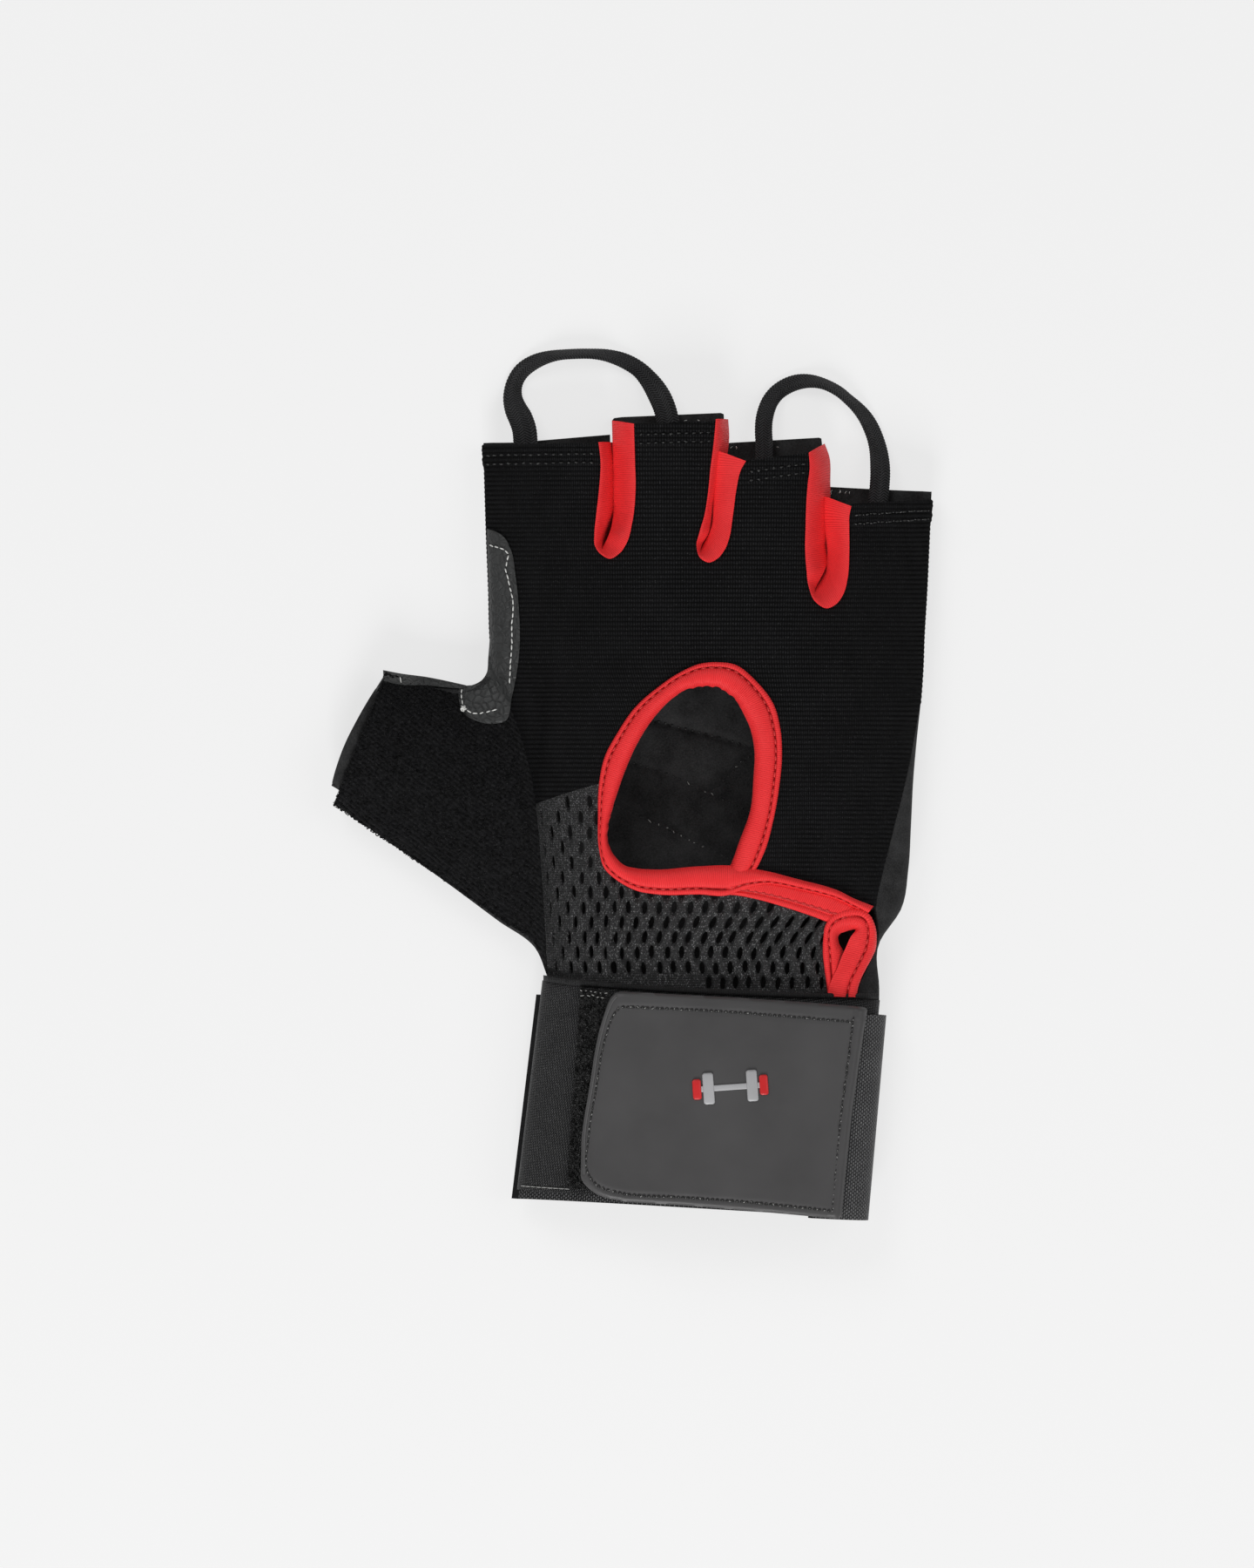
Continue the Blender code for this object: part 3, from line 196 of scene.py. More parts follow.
# How far apart the rows of the towelling are, in millimetres, and the steps along tapes and braids
TOWEL_ROW = 0.95
FINE_STEP = 0.11 * MM
NET_TOP = ((617, 922), (640, 914), (662, 907), (690, 899))
SLOT_TAPES = (
    (
        (687.6, 508, 704, 507), (690, 530, 707, 529), (688, 565, 708.5, 563), (685, 592, 707.5, 590),
        (683, 613.7, 701, 611), (684, 628, 695, 623), (689.4, 635.8, 692, 627.5),
        (700, 641.6, 693.5, 625.5), (710.8, 635.8, 696.5, 620), (719, 624.4, 700.5, 610),
        (725.8, 599.4, 704, 592), (729.4, 563.7, 704.2, 560), (728.7, 528, 703.7, 526),
        (727.6, 487, 702.6, 482.3),
    ),
    (
        (822.3, 481.6, 836.6, 480.5), (820, 506.6, 837.6, 503), (816, 538.7, 832, 540),
        (812.6, 570.9, 826, 570), (809, 592.3, 822.5, 592), (803, 613, 815.5, 611), (800, 628, 807, 624),
        (803.7, 640.5, 805, 630), (812.6, 645.9, 807, 626), (823.4, 641.6, 811, 619),
        (831.6, 631.6, 814.5, 612), (836.6, 619, 817.5, 602), (841, 592.3, 819, 584),
        (844.8, 563.7, 819.8, 560), (849.4, 542.3, 820.3, 538), (855.9, 529.8, 820.9, 516.2),
    ),
    (
        (928.7, 520, 947.5, 508.4), (929.8, 535, 953, 524), (927.5, 557, 954, 553),
        (925.9, 578, 954, 576), (925, 606.6, 954, 603), (924.4, 628, 953, 625), (925.9, 653, 948, 652),
        (928.7, 674.4, 938.5, 671), (934, 688.7, 936, 676.5), (947.6, 698.4, 939.5, 670),
        (959, 694, 944.5, 661), (968, 681.6, 948.5, 651), (972.6, 663.7, 950, 641),
        (974.4, 635, 949.5, 625), (974.4, 606.6, 946.8, 603), (975, 590, 946, 578),
        (976.9, 581.6, 945.9, 569),
    ),
)
# How far each finger tape falls towards the palm, from 0, level, to 1: left leg, crotch, right leg
LEG_FALLS = ((0.85, 0.30, 0.60), (0.85, 0.30, 0.25), (0.85, 0.30, 0.50))
QUILT_LINES = (
    ((700, 812), (763, 830), (835, 849), (905, 872)),
    ((700, 868), (758, 885), (789, 898), (815, 911), (880, 940)),
    ((818, 909), (861, 868), (905, 830)),
    ((690, 918), (723, 932), (795, 965), (860, 998)),
)
QUILT_GLINTS = (((770, 893), (822, 914)), ((842, 882), (862, 868)), ((744, 940), (812, 975)))

# How far apart the ribs of the knit are, and the holes of the net
KNIT_RIB = 1.08 * MM
NET_PITCH = 3.45 * MM
NET_HOLE = (0.84 * MM, 1.46 * MM)
# Outer and inner edge of the keyhole's tape, in photograph pixels
KEYHOLE = (
    (851, 1022, 822, 1018), (866, 1000, 838, 994), (878, 975, 849, 965), (887, 942, 861, 931),
    (894, 902, 865, 891), (897, 868, 866, 862), (895, 836, 861, 836), (887, 808, 852, 817),
    (867, 782, 843, 803), (844, 764, 830, 794), (824, 761, 818, 789.5), (803, 763, 804, 790),
    (780, 773, 789, 792), (755, 790, 771, 803), (729, 813, 750, 825), (709, 842, 732, 853),
    (694, 871, 718, 884), (688, 902, 709, 910), (687, 937, 702, 936), (688, 974, 698.5, 962),
    (693, 994, 702, 976), (706, 1008, 714, 991), (729, 1021, 730, 996.5), (755, 1026, 755, 998),
    (803, 1026, 800, 994.5), (835, 1027, 838, 993.5), (856, 1019, 862, 996.5), (880, 1014.5, 886, 1001),
    (900, 1017, 905, 1006), (920, 1021.5, 926, 1011.5), (940, 1026, 944, 1016), (960, 1032, 962, 1022),
    (977, 1040, 980, 1031), (994, 1050, 1002.5, 1040),
)
PALM_SLOTS = (
    ((701.5, 481), (702.5, 520), (703, 570), (703, 600)),
    ((833, 474), (834, 508), (823, 560), (816, 610)),
    ((945.5, 502), (950, 545), (949, 600), (950, 640)),
)
TAB_EDGE = (
    (713, 1137), (751, 1139), (847, 1144), (920, 1149), (990.5, 1155), (995, 1157), (987, 1208),
    (978, 1271), (971, 1335), (965.5, 1394), (962, 1397), (879, 1389), (783, 1381), (719, 1377),
    (697, 1373), (685, 1368.5), (676, 1362), (669.5, 1355), (667, 1349), (668, 1303), (678, 1239),
    (684, 1201), (688, 1182), (697, 1153), (701, 1144), (706, 1139),
)
TAB_STITCHES = (
    ((979, 1166), (972, 1222), (964, 1285), (959, 1340), (955, 1388)),
    ((986, 1173), (920, 1167), (847, 1161), (751, 1156), (712, 1154.5)),
    (
        (712, 1154.5), (705, 1163), (697, 1184), (692, 1203), (686, 1240), (676, 1304), (675.5, 1345),
        (681, 1354), (690, 1361), (702, 1365),
    ),
    ((702, 1365), (720, 1368.5), (783, 1372), (879, 1379.5), (955, 1388)),
)
TAB_BORDER = ((986.5, 1160), (979, 1222), (970, 1285), (963.5, 1340), (959, 1393))
CUFF_HEM = (
    (624, 1119.5, 624, 1125.5), (645, 1121.5, 645, 1129), (700, 1127, 700, 1133.5),
    (770, 1131.5, 770, 1138), (850, 1135.5, 850, 1142), (930, 1139, 930, 1145), (1009, 1140, 1009, 1146),
)
CUFF_EDGE_LINE = ((598, 1360.5), (625, 1362), (655, 1363.5))
TAB_RIM = (
    (668, 1346, 672.5, 1346), (668.5, 1303, 673, 1303), (678, 1241, 682.5, 1241.5),
    (684, 1202, 688.5, 1203), (688.5, 1182, 693, 1183.5), (697.5, 1154, 701.5, 1156),
    (702, 1145, 705.5, 1148), (707, 1140, 709, 1144),
)
HOOK_COUNT = 950
HOOK_DASHES = (((666, 1136), (697, 1139.5)), ((668, 1141), (694, 1144)))
HOOK_LEFT = ((666, 1134), (664, 1176), (658, 1253), (651, 1362))
HOOK_RIGHT = ((690, 1364), (800, 1360), (800, 1152), (712, 1146), (698, 1137))
# Steps of the panels' inner faces, across and along
KNIT_LINING = (3 * MM, 3 * MM)
NET_LINING = (1.5 * MM, 1.5 * MM)
PALM_LINING = (0.75 * MM, 0.75 * MM)
# The net's edge beside the slit, the patch's fold and knot, and where thread ends show, with how many
NET_SLIT_SIDE = ((955, 1067), (951, 1081), (950, 1100), (952, 1121), (955, 1139))
PATCH_FOLD = ((556, 777), (581, 805))
PATCH_KNOT = ((532, 812), (533, 813.5), (531.5, 814))
THREAD_ENDS = (((800, 479), 2), ((846, 514), 2), ((895, 511), 1), ((961, 563), 7))
# How far below the fingertips' edge their two sewn rows lie
TIP_STITCH_ROWS = (2.6 * MM, 4.6 * MM)
TOWEL_LOOPS = 2100
HOOK_OFFSET = GAP + 1.3 * MM
# The emblem: its bars in pixels round its middle, their finish and height in millimetres, and the
# profile of each bar, from its outline in
EMBLEM_PLACE = np.array((838, 1246))
EMBLEM_TURN = -4
EMBLEM_CORNER = 3.0
EMBLEM_SHAPES = (
    ((-40, -3.2), (40, 3.2), "silver_ink", 0.30),
    ((-31, -17), (-19, 17), "silver_ink", 0.55),
    ((19, -17), (31, 17), "silver_ink", 0.55),
    ((-43, -11), (-33.5, 11), "red_ink", 0.50),
    ((33.5, -11), (43, 11), "red_ink", 0.50),
)
EMBLEM_PROFILE = ((1.06, -0.3), (1.06, 0.55), (1.0, 0.85), (0.9, 1.0), (0.45, 1.02), (0.02, 1.02))
# The room's lamps: name, place, size and power
LAMPS = (
    ("key_light", (-0.60, 0.90, 1.10), 0.7, 6.8),
    ("fill_light", (0.90, 0.20, 1.00), 0.9, 4.0),
    ("foot_light", (-0.15, -1.15, 0.74), 0.5, 13.5),
)
ROOM_LIGHT = 0.18
# Where the strap starts and ends round the cuff, in radians, and down it
STRAP_TURNS = (-13 * 2 * math.pi / 28, math.acos(0.66 ** (1 / 0.75)))
STRAP_ENDS = (0.07, 1.048)
# How far the wrapped wrist is drawn in at its right side
RIGHT_TUCK = 1.3 * MM


def column(rows, columns, name):
    """One named column of a table."""
    return np.array([row[columns.index(name)] for row in rows], float)


def smooth_curve(at, knots, values):
    """A smooth curve through the knots, read at the places asked for, held level past its ends."""
    at = np.clip(at, knots[0], knots[-1])
    slopes = np.gradient(values, knots)
    left = np.clip(np.searchsorted(knots, at, side="right") - 1, 0, len(knots) - 2)
    step = knots[left + 1] - knots[left]
    share = (at - knots[left]) / step
    rest = 1 - share
    ends = values[left] * (1 + 2 * share) * rest**2 + values[left + 1] * (1 + 2 * rest) * share**2
    return ends + step * (slopes[left] * share * rest**2 - slopes[left + 1] * rest * share**2)


SECTION_TABLE = {name: column(SECTIONS, SECTION_COLUMNS, name) for name in SECTION_COLUMNS}


def section(along, name):
    """A column of the hand's sections at places along it."""
    return smooth_curve(along, SECTION_TABLE["along"], SECTION_TABLE[name])


# The section at the wrist
WRIST = {name: float(section(np.array(0.0), name)) for name in SECTION_COLUMNS}
WRIST_MIDDLE = (WRIST["left"] + WRIST["right"]) / 2 * HAND_WIDTH
WRIST_HALF = (WRIST["right"] - WRIST["left"]) / 2 * HAND_WIDTH
WRIST_SEAM = WRIST["seam"] * HAND_HEIGHT
WRIST_CROWN = WRIST["crown"] * HAND_HEIGHT + CUFF_RAISE


def photo(points):
    """Pixels of the photograph as metres in the hand's frame."""
    points = np.array(points, float)
    return (points - PHOTO_ORIGIN) * (PIXEL, -PIXEL)


def smoothstep(low, high, value):
    share = np.clip((value - low) / (high - low), 0, 1)
    return share**2 * (3 - 2 * share)


def in_hand(shares):
    """Shares of the hand's width and length as metres."""
    return np.array(shares) * (HAND_WIDTH, HAND_LENGTH)


def humps(value, power=1.0):
    """Rounded humps, one for each whole step of a value."""
    return np.abs(np.sin(math.pi * value)) ** power


def dip(away, spread):
    """A bell curve: 1 where away is 0, falling off over spread."""
    return np.exp(-((away / spread) ** 2))


def bulge(across):
    return np.sqrt(np.clip(1 - np.abs(across) ** 2.4, 0, 1))


def flat_bulge(across):
    past = np.clip((np.abs(across) - SOLE_FLAT) / (1 - SOLE_FLAT), 0, 1)
    return np.sqrt(1 - past**2)


def thumb_join(along, height):
    share = np.clip(along / CROTCH, 0, 1)
    return height * np.sin(math.pi * share) ** 0.7


def slot_middle(slot, along):
    share = np.clip((along - slot["crotch"]) / (1 - slot["crotch"]), 0, 1)
    return slot["middle"] + (slot["tip_middle"] - slot["middle"]) * (1 - (1 - share) ** 2)


def dents(x, y):
    """How far the dents lower the back, as a share of the hand's height."""
    total = np.zeros_like(x)
    for row in DENTS:
        dent = dict(zip(DENT_COLUMNS, row))
        turn = math.radians(dent["turn"])
        off_x, off_y = x / HAND_WIDTH - dent["x"], y / HAND_LENGTH - dent["y"]
        across = (off_x * math.cos(turn) + off_y * math.sin(turn)) / dent["spread_x"]
        down = (off_y * math.cos(turn) - off_x * math.sin(turn)) / dent["spread_y"]
        total += dent["depth"] * np.exp(-(across**2) - down**2)
    for row in SLOTS:
        slot = dict(zip(SLOT_COLUMNS, row))
        across = (x / HAND_WIDTH - slot_middle(slot, y / HAND_LENGTH)) / (1.5 * slot["half_width"])
        reach = np.clip((y / HAND_LENGTH - slot["crotch"] + 0.12) / 0.16, 0, 1)
        total += slot["dip"] * reach**2 * (3 - 2 * reach) * np.exp(-(across**2))
    return total


def hand_point(flat, is_back):
    """Points of the hand's skin at unrolled places, on its back or else on its sole. Past the right
    side the sole's cloth wraps up onto the back."""
    u, y = np.clip(flat[:, 0], -SIDE, SIDE if is_back else math.inf), flat[:, 1]
    along = y / HAND_LENGTH
    across = np.sin(u / FLAT_RADIUS)
    left, right = section(along, "left") * HAND_WIDTH, section(along, "right") * HAND_WIDTH
    x = (left + right) / 2 + across * (right - left) / 2
    seam, crown = section(along, "seam"), section(along, "crown")
    sole = np.maximum(section(along, "sole"), 0)
    rise = bulge(across)
    joined_rise = 1 - (1 - thumb_join(along, CROWN_JOIN)) * (1 - rise)
    rise = np.where(across < 0, joined_rise, rise)
    back = seam + (crown - seam) * rise - dents(x, y) * rise
    drop = flat_bulge(across)
    joined_drop = 1 - (1 - thumb_join(along, SOLE_JOIN)) * (1 - drop)
    drop = np.where(across < 0, joined_drop, drop)
    under = seam - (seam - sole) * drop
    height = np.where(np.logical_or(is_back, u > SIDE), back, under)
    return np.stack([x, y, HAND_HEIGHT * height], axis=1)


def back_point(flat):
    return hand_point(flat, True)


def sole_point(flat):
    return hand_point(flat, False)


def unrolled(plan):
    """The unrolled places of plan points on the back."""
    along = plan[:, 1] / HAND_LENGTH
    left, right = section(along, "left") * HAND_WIDTH, section(along, "right") * HAND_WIDTH
    across = np.clip((2 * plan[:, 0] - left - right) / (right - left), -1, 1)
    return np.stack([np.arcsin(across) * FLAT_RADIUS, plan[:, 1]], axis=1)


def on_back(plan):
    """Points of the back's skin over plan points."""
    return back_point(unrolled(np.asarray(plan, float)))


def resampled(points, step, closed=False, smooth=True):
    """A polyline or a smooth curve through points, with points about step apart."""
    points = np.array(points, float)
    if closed:
        points = np.vstack([points, points[:1]])
    lengths = np.linalg.norm(np.diff(points, axis=0), axis=1)
    knots = np.concatenate([[0], np.cumsum(lengths)])
    count = max(2, int(round(knots[-1] / step)) + 1)
    at = np.linspace(0, knots[-1], count)
    if smooth:
        made = np.stack([smooth_curve(at, knots, points[:, axis]) for axis in range(points.shape[1])], axis=1)
    else:
        made = np.stack([np.interp(at, knots, points[:, axis]) for axis in range(points.shape[1])], axis=1)
    return made[:-1] if closed else made


def counted(points, count, smooth=True):
    """A curve through points, as count points at even steps."""
    points = np.array(points, float)
    lengths = np.linalg.norm(np.diff(points, axis=0), axis=1)
    knots = np.concatenate([[0], np.cumsum(lengths)]) / lengths.sum()
    at = np.linspace(0, 1, count)
    read = smooth_curve if smooth else np.interp
    return np.stack([read(at, knots, points[:, axis]) for axis in range(points.shape[1])], axis=1)


def holds(outline, points):
    """Which points lie in a closed outline."""
    inside = np.zeros(len(points), bool)
    for start, end in zip(outline, np.roll(outline, -1, axis=0)):
        if start[1] == end[1]:
            continue
        crosses = (start[1] > points[:, 1]) != (end[1] > points[:, 1])
        x_there = start[0] + (points[:, 1] - start[1]) / (end[1] - start[1]) * (end[0] - start[0])
        inside ^= crosses & (points[:, 0] < x_there)
    return inside


def distance_to(lines, points, closed=True):
    """Distance from each point to the nearest of some polylines."""
    best = np.full(len(points), np.inf)
    for line in lines:
        ends = np.roll(line, -1, axis=0) if closed else line[1:]
        starts = line if closed else line[:-1]
        for start, end in zip(starts, ends):
            edge = end - start
            share = np.clip(((points - start) @ edge) / max(edge @ edge, 1e-18), 0, 1)
            best = np.minimum(best, np.linalg.norm(points - start - share[:, None] * edge, axis=1))
    return best


def filled(rings, steps, stagger=True):
    """Points and triangles that fill the first ring and leave the others open. steps are the
    spacings of the points across and along."""
    outline = rings[0]
    low, high = outline.min(axis=0), outline.max(axis=0)
    rows = np.arange(low[1] + steps[1] / 2, high[1], steps[1])
    columns = np.arange(low[0], high[0], steps[0])
    grid_y = np.repeat(rows, len(columns))
    grid_x = np.tile(columns, len(rows))
    if stagger:
        grid_x = grid_x + steps[0] / 2 * np.repeat(np.arange(len(rows)) % 2, len(columns))
    grid = np.stack([grid_x, grid_y], axis=1)
    grid = grid[holds(outline, grid)]
    for ring in rings[1:]:
        near = np.all((grid > ring.min(axis=0)) & (grid < ring.max(axis=0)), axis=1)
        taken = np.zeros(len(grid), bool)
        taken[near] = holds(ring, grid[near])
        grid = grid[~taken]
    clear = np.ones(len(grid), bool)
    margin = 0.4 * min(steps)
    for ring in rings:
        near = np.all((grid > ring.min(axis=0) - margin) & (grid < ring.max(axis=0) + margin), axis=1)
        near_points = np.flatnonzero(near)
        clear[near_points[distance_to([ring], grid[near_points]) < margin]] = False
    grid = grid[clear]
    points = np.vstack([*rings, grid])
    edges, first = [], 0
    for ring in rings:
        edges += [(first + index, first + (index + 1) % len(ring)) for index in range(len(ring))]
        first += len(ring)
    scaled = [Vector((x / MM, y / MM)) for x, y in points]
    verts, _, faces, sources, _, _ = delaunay_2d_cdt(scaled, edges, [], 1, 1e-6)
    points = np.array([tuple(vert) for vert in verts]) * MM
    faces = np.array([face for face in faces if len(face) == 3])
    middles = points[faces].mean(axis=1)
    kept = holds(outline, middles)
    for ring in rings[1:]:
        near = np.flatnonzero(np.all((middles > ring.min(axis=0)) & (middles < ring.max(axis=0)), axis=1))
        kept[near[holds(ring, middles[near])]] = False
    made_from = {}
    for index, source in enumerate(sources):
        for original in source:
            made_from[original] = index
    loops, first = [], 0
    for ring in rings:
        loops.append([made_from[first + index] for index in range(len(ring))])
        first += len(ring)
    return points, faces[kept], loops


def normals_of(place, flat, step=2e-5):
    """Normals of a surface at flat places."""
    shift_u, shift_v = np.array([step, 0]), np.array([0, step])
    along_u = place(flat + shift_u) - place(flat - shift_u)
    along_v = place(flat + shift_v) - place(flat - shift_v)
    normal = np.cross(along_u, along_v)
    return normal / np.maximum(np.linalg.norm(normal, axis=1, keepdims=True), 1e-12)


def ring_area(ring):
    """Twice a ring's area, below zero where it runs clockwise."""
    return np.sum(ring[:, 0] * np.roll(ring[:, 1], -1) - ring[:, 1] * np.roll(ring[:, 0], -1))


def new_object(name, verts, faces, uvs, cloth, stands_for=()):
    """A piece from points, faces and unrolled places. cloth names its finish, and it stands for the
    nodes in stands_for."""
    mesh = bpy.data.meshes.new(name)
    mesh.from_pydata([tuple(point) for point in verts], [], [tuple(face) for face in faces])
    layer = mesh.uv_layers.new(name="cloth")
    indices = np.zeros(len(mesh.loops), int)
    mesh.loops.foreach_get("vertex_index", indices)
    layer.data.foreach_set("uv", (uvs[indices] / UV_UNIT).ravel())
    mesh.shade_smooth()
    mesh.set_sharp_from_angle(angle=math.radians(60))
    mesh.materials.append(FINISHES[cloth])
    made = bpy.data.objects.new(name, mesh)
    made.location = HAND_ORIGIN
    bpy.context.scene.collection.objects.link(made)
    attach(made, "root")
    if stands_for:
        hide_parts(*stands_for)
    return made


def panel(name, rings, place, side, steps, wall, node_name, cloth, relief, inner_steps, inner_relief=None):
    """A cloth panel: an outer face filled from flat rings, an inner face a wall below it, and rims.
    relief and inner_relief raise a face at its flat places."""
    outer_flat, outer_faces, outer_loops = filled(rings, steps)
    inner_flat, inner_faces, inner_loops = filled(rings, inner_steps)
    outer_normal = side * normals_of(place, outer_flat)
    inner_normal = side * normals_of(place, inner_flat)
    outer = place(outer_flat) + outer_normal * relief(outer_flat)[:, None]
    inner = place(inner_flat) - wall * inner_normal
    if inner_relief:
        inner = inner - inner_normal * inner_relief(inner_flat)[:, None]
    count = len(outer)
    turn = slice(None) if side > 0 else slice(None, None, -1)
    faces = [tuple(face)[turn] for face in outer_faces]
    faces += [tuple(face + count)[::-1][turn] for face in inner_faces]
    for ring, outer_loop, inner_loop in zip(rings, outer_loops, inner_loops):
        flip = (ring_area(ring) > 0) == (ring is rings[0])
        for index in range(len(ring)):
            following = (index + 1) % len(ring)
            low, low_next = inner_loop[index] + count, inner_loop[following] + count
            quad = (outer_loop[index], low, low_next, outer_loop[following])
            faces.append(quad[turn] if flip else quad[::-1][turn])
    verts, uvs = np.vstack([outer, inner]), np.vstack([outer_flat, inner_flat])
    return new_object(name, verts, faces, uvs, cloth, (node_name,))


def pad(name, ring, steps, top, foot, cloth, node_name, stagger=True):
    """A solid piece filled from a ring in plan. top and foot give its faces at their flat places."""
    flat, faces, (loop,) = filled([ring], steps, stagger)
    count = len(flat)
    faces = [tuple(face) for face in faces] + [tuple(face[::-1] + count) for face in faces]
    for here, following in zip(loop, loop[1:] + loop[:1]):
        faces.append((here, here + count, following + count, following))
    verts = np.vstack([top(flat), foot(flat)])
    return new_object(name, verts, faces, np.vstack([flat, flat]), cloth, (node_name,))


def grid_object(name, points, uvs, cloth, stands_for=(), closed_rows=False, flip=False):
    """A piece from a grid of points, points[row][column], each row a ring. Its ends are capped unless
    its rows close into a ring too."""
    rows, columns = points.shape[:2]
    row, col = np.arange(rows if closed_rows else rows - 1), np.arange(columns)
    row, col = np.meshgrid(row, col, indexing="ij")
    here, next_row, next_col = row * columns, (row + 1) % rows * columns, (col + 1) % columns
    corners = [here + col, here + next_col, next_row + next_col, next_row + col]
    faces = [tuple(face) for face in np.stack([corner.ravel() for corner in corners], axis=1)]
    if not closed_rows:
        faces += [tuple(range(columns))[::-1], tuple(range((rows - 1) * columns, rows * columns))]
    if flip:
        faces = [face[::-1] for face in faces]
    return new_object(name, points.reshape(-1, 3), faces, uvs.reshape(-1, 2), cloth, stands_for)


def grid_places(down, across):
    """The unrolled places of a grid, from those of its rows and of its columns."""
    return np.stack(np.broadcast_arrays(down[:, None], across[None, :]), axis=2)


def lengths_along(points):
    steps = np.linalg.norm(np.diff(points, axis=0), axis=1)
    return np.concatenate([[0], np.cumsum(steps)])


def beads(name, lines, length, pitch, radius, cloth, wobble=0.0, seed=1):
    """Stitches: small round-ended threads along polylines. Their sizes are in millimetres."""
    length, pitch, radius, wobble = (size * MM for size in (length, pitch, radius, wobble))
    random = np.random.default_rng(seed)
    sides, rounds = 6, 5
    ring = np.linspace(0, 2 * math.pi, sides, endpoint=False)
    verts, faces = [], []
    for line in lines:
        travelled = lengths_along(line)
        count = int((travelled[-1] - length) / pitch) + 1
        start = (travelled[-1] - (count - 1) * pitch) / 2
        for index in range(count):
            middle = start + index * pitch
            at = middle + np.array([-0.5, 0.5]) * length
            ends = np.stack([np.interp(at, travelled, line[:, axis]) for axis in range(3)], axis=1)
            ends[:, :2] += random.normal(0, wobble, (2, 2))
            direction = ends[1] - ends[0]
            direction /= max(np.linalg.norm(direction), 1e-9)
            sideways = np.cross(direction, (0, 0, 1))
            sideways /= max(np.linalg.norm(sideways), 1e-9)
            up = np.cross(sideways, direction)
            first = len(verts)
            for step in range(rounds):
                share = step / (rounds - 1)
                girth = radius * math.sqrt(max(1 - (2 * share - 1) ** 4, 0.12))
                arch = radius * 0.9 * (1 - (2 * share - 1) ** 2)
                centre = ends[0] + (ends[1] - ends[0]) * share + up * (arch - 0.3 * radius)
                for angle in ring:
                    verts.append(centre + girth * (math.cos(angle) * sideways + math.sin(angle) * up))
            for step in range(rounds - 1):
                for side in range(sides):
                    a, b = first + step * sides + side, first + step * sides + (side + 1) % sides
                    faces.append((a, a + sides, b + sides, b))
            faces.append(tuple(first + side for side in range(sides)))
            faces.append(tuple(first + (rounds - 1) * sides + side for side in reversed(range(sides))))
    verts = np.array(verts)
    return new_object(name, verts, faces, verts[:, :2].copy(), cloth)


# Shader nodes


def node(tree, kind, inputs=None, **settings):
    """Adds a shader node. inputs maps a socket's name or number to a value or an output socket."""
    made = tree.nodes.new(kind)
    for key, value in settings.items():
        setattr(made, key, value)
    for key, value in (inputs or {}).items():
        socket = made.inputs[key]
        if isinstance(value, bpy.types.NodeSocket):
            tree.links.new(value, socket)
        else:
            socket.default_value = value
    return made


def maths(tree, operation, *values, clamp=False):
    made = node(tree, "ShaderNodeMath", dict(enumerate(values)), operation=operation, use_clamp=clamp)
    return made.outputs[0]


def times(tree, first, second):
    return maths(tree, "MULTIPLY", first, second)


def plus(tree, first, second):
    return maths(tree, "ADD", first, second)


def wave(tree, value):
    """Rounded humps, one for each whole step of a value."""
    return maths(tree, "ABSOLUTE", maths(tree, "SINE", times(tree, value, math.pi)))


def group(name, inputs, outputs):
    """A new node group with its input and output nodes. inputs are (name, kind, default)."""
    tree = bpy.data.node_groups.new(name, "ShaderNodeTree")
    for socket_name, kind, default in inputs:
        socket = tree.interface.new_socket(socket_name, in_out="INPUT", socket_type=kind)
        if default is not None:
            socket.default_value = default
    for socket_name, kind in outputs:
        tree.interface.new_socket(socket_name, in_out="OUTPUT", socket_type=kind)
    return tree, tree.nodes.new("NodeGroupInput").outputs, tree.nodes.new("NodeGroupOutput").inputs


FLOAT, VECTOR = "NodeSocketFloat", "NodeSocketVector"


def ribs_group():
    """Rounded ribs that run along the first axis of a place in millimetres."""
    inputs = [("Place", VECTOR, None), ("Pitch", FLOAT, 1.0), ("Roundness", FLOAT, 0.6)]
    tree, given, out = group("ribs", inputs, [("Height", FLOAT)])
    across = node(tree, "ShaderNodeSeparateXYZ", {0: given["Place"]}).outputs["Y"]
    humps = wave(tree, maths(tree, "DIVIDE", across, given["Pitch"]))
    tree.links.new(maths(tree, "POWER", humps, given["Roundness"]), out["Height"])
    return tree


def weave_group():
    """Staggered beads of yarn, Length by Pitch millimetres."""
    inputs = [("Place", VECTOR, None), ("Length", FLOAT, 1.2), ("Pitch", FLOAT, 0.8)]
    tree, given, out = group("weave", inputs, [("Height", FLOAT)])
    place = node(tree, "ShaderNodeSeparateXYZ", {0: given["Place"]})
    row = maths(tree, "DIVIDE", place.outputs["Y"], given["Pitch"])
    stagger = times(tree, maths(tree, "MODULO", maths(tree, "FLOOR", row), 2.0), 0.5)
    along = plus(tree, maths(tree, "DIVIDE", place.outputs["X"], given["Length"]), stagger)
    bead, band = wave(tree, along), wave(tree, row)
    height = times(tree, maths(tree, "POWER", bead, 0.5), maths(tree, "POWER", band, 0.6))
    tree.links.new(height, out["Height"])
    return tree
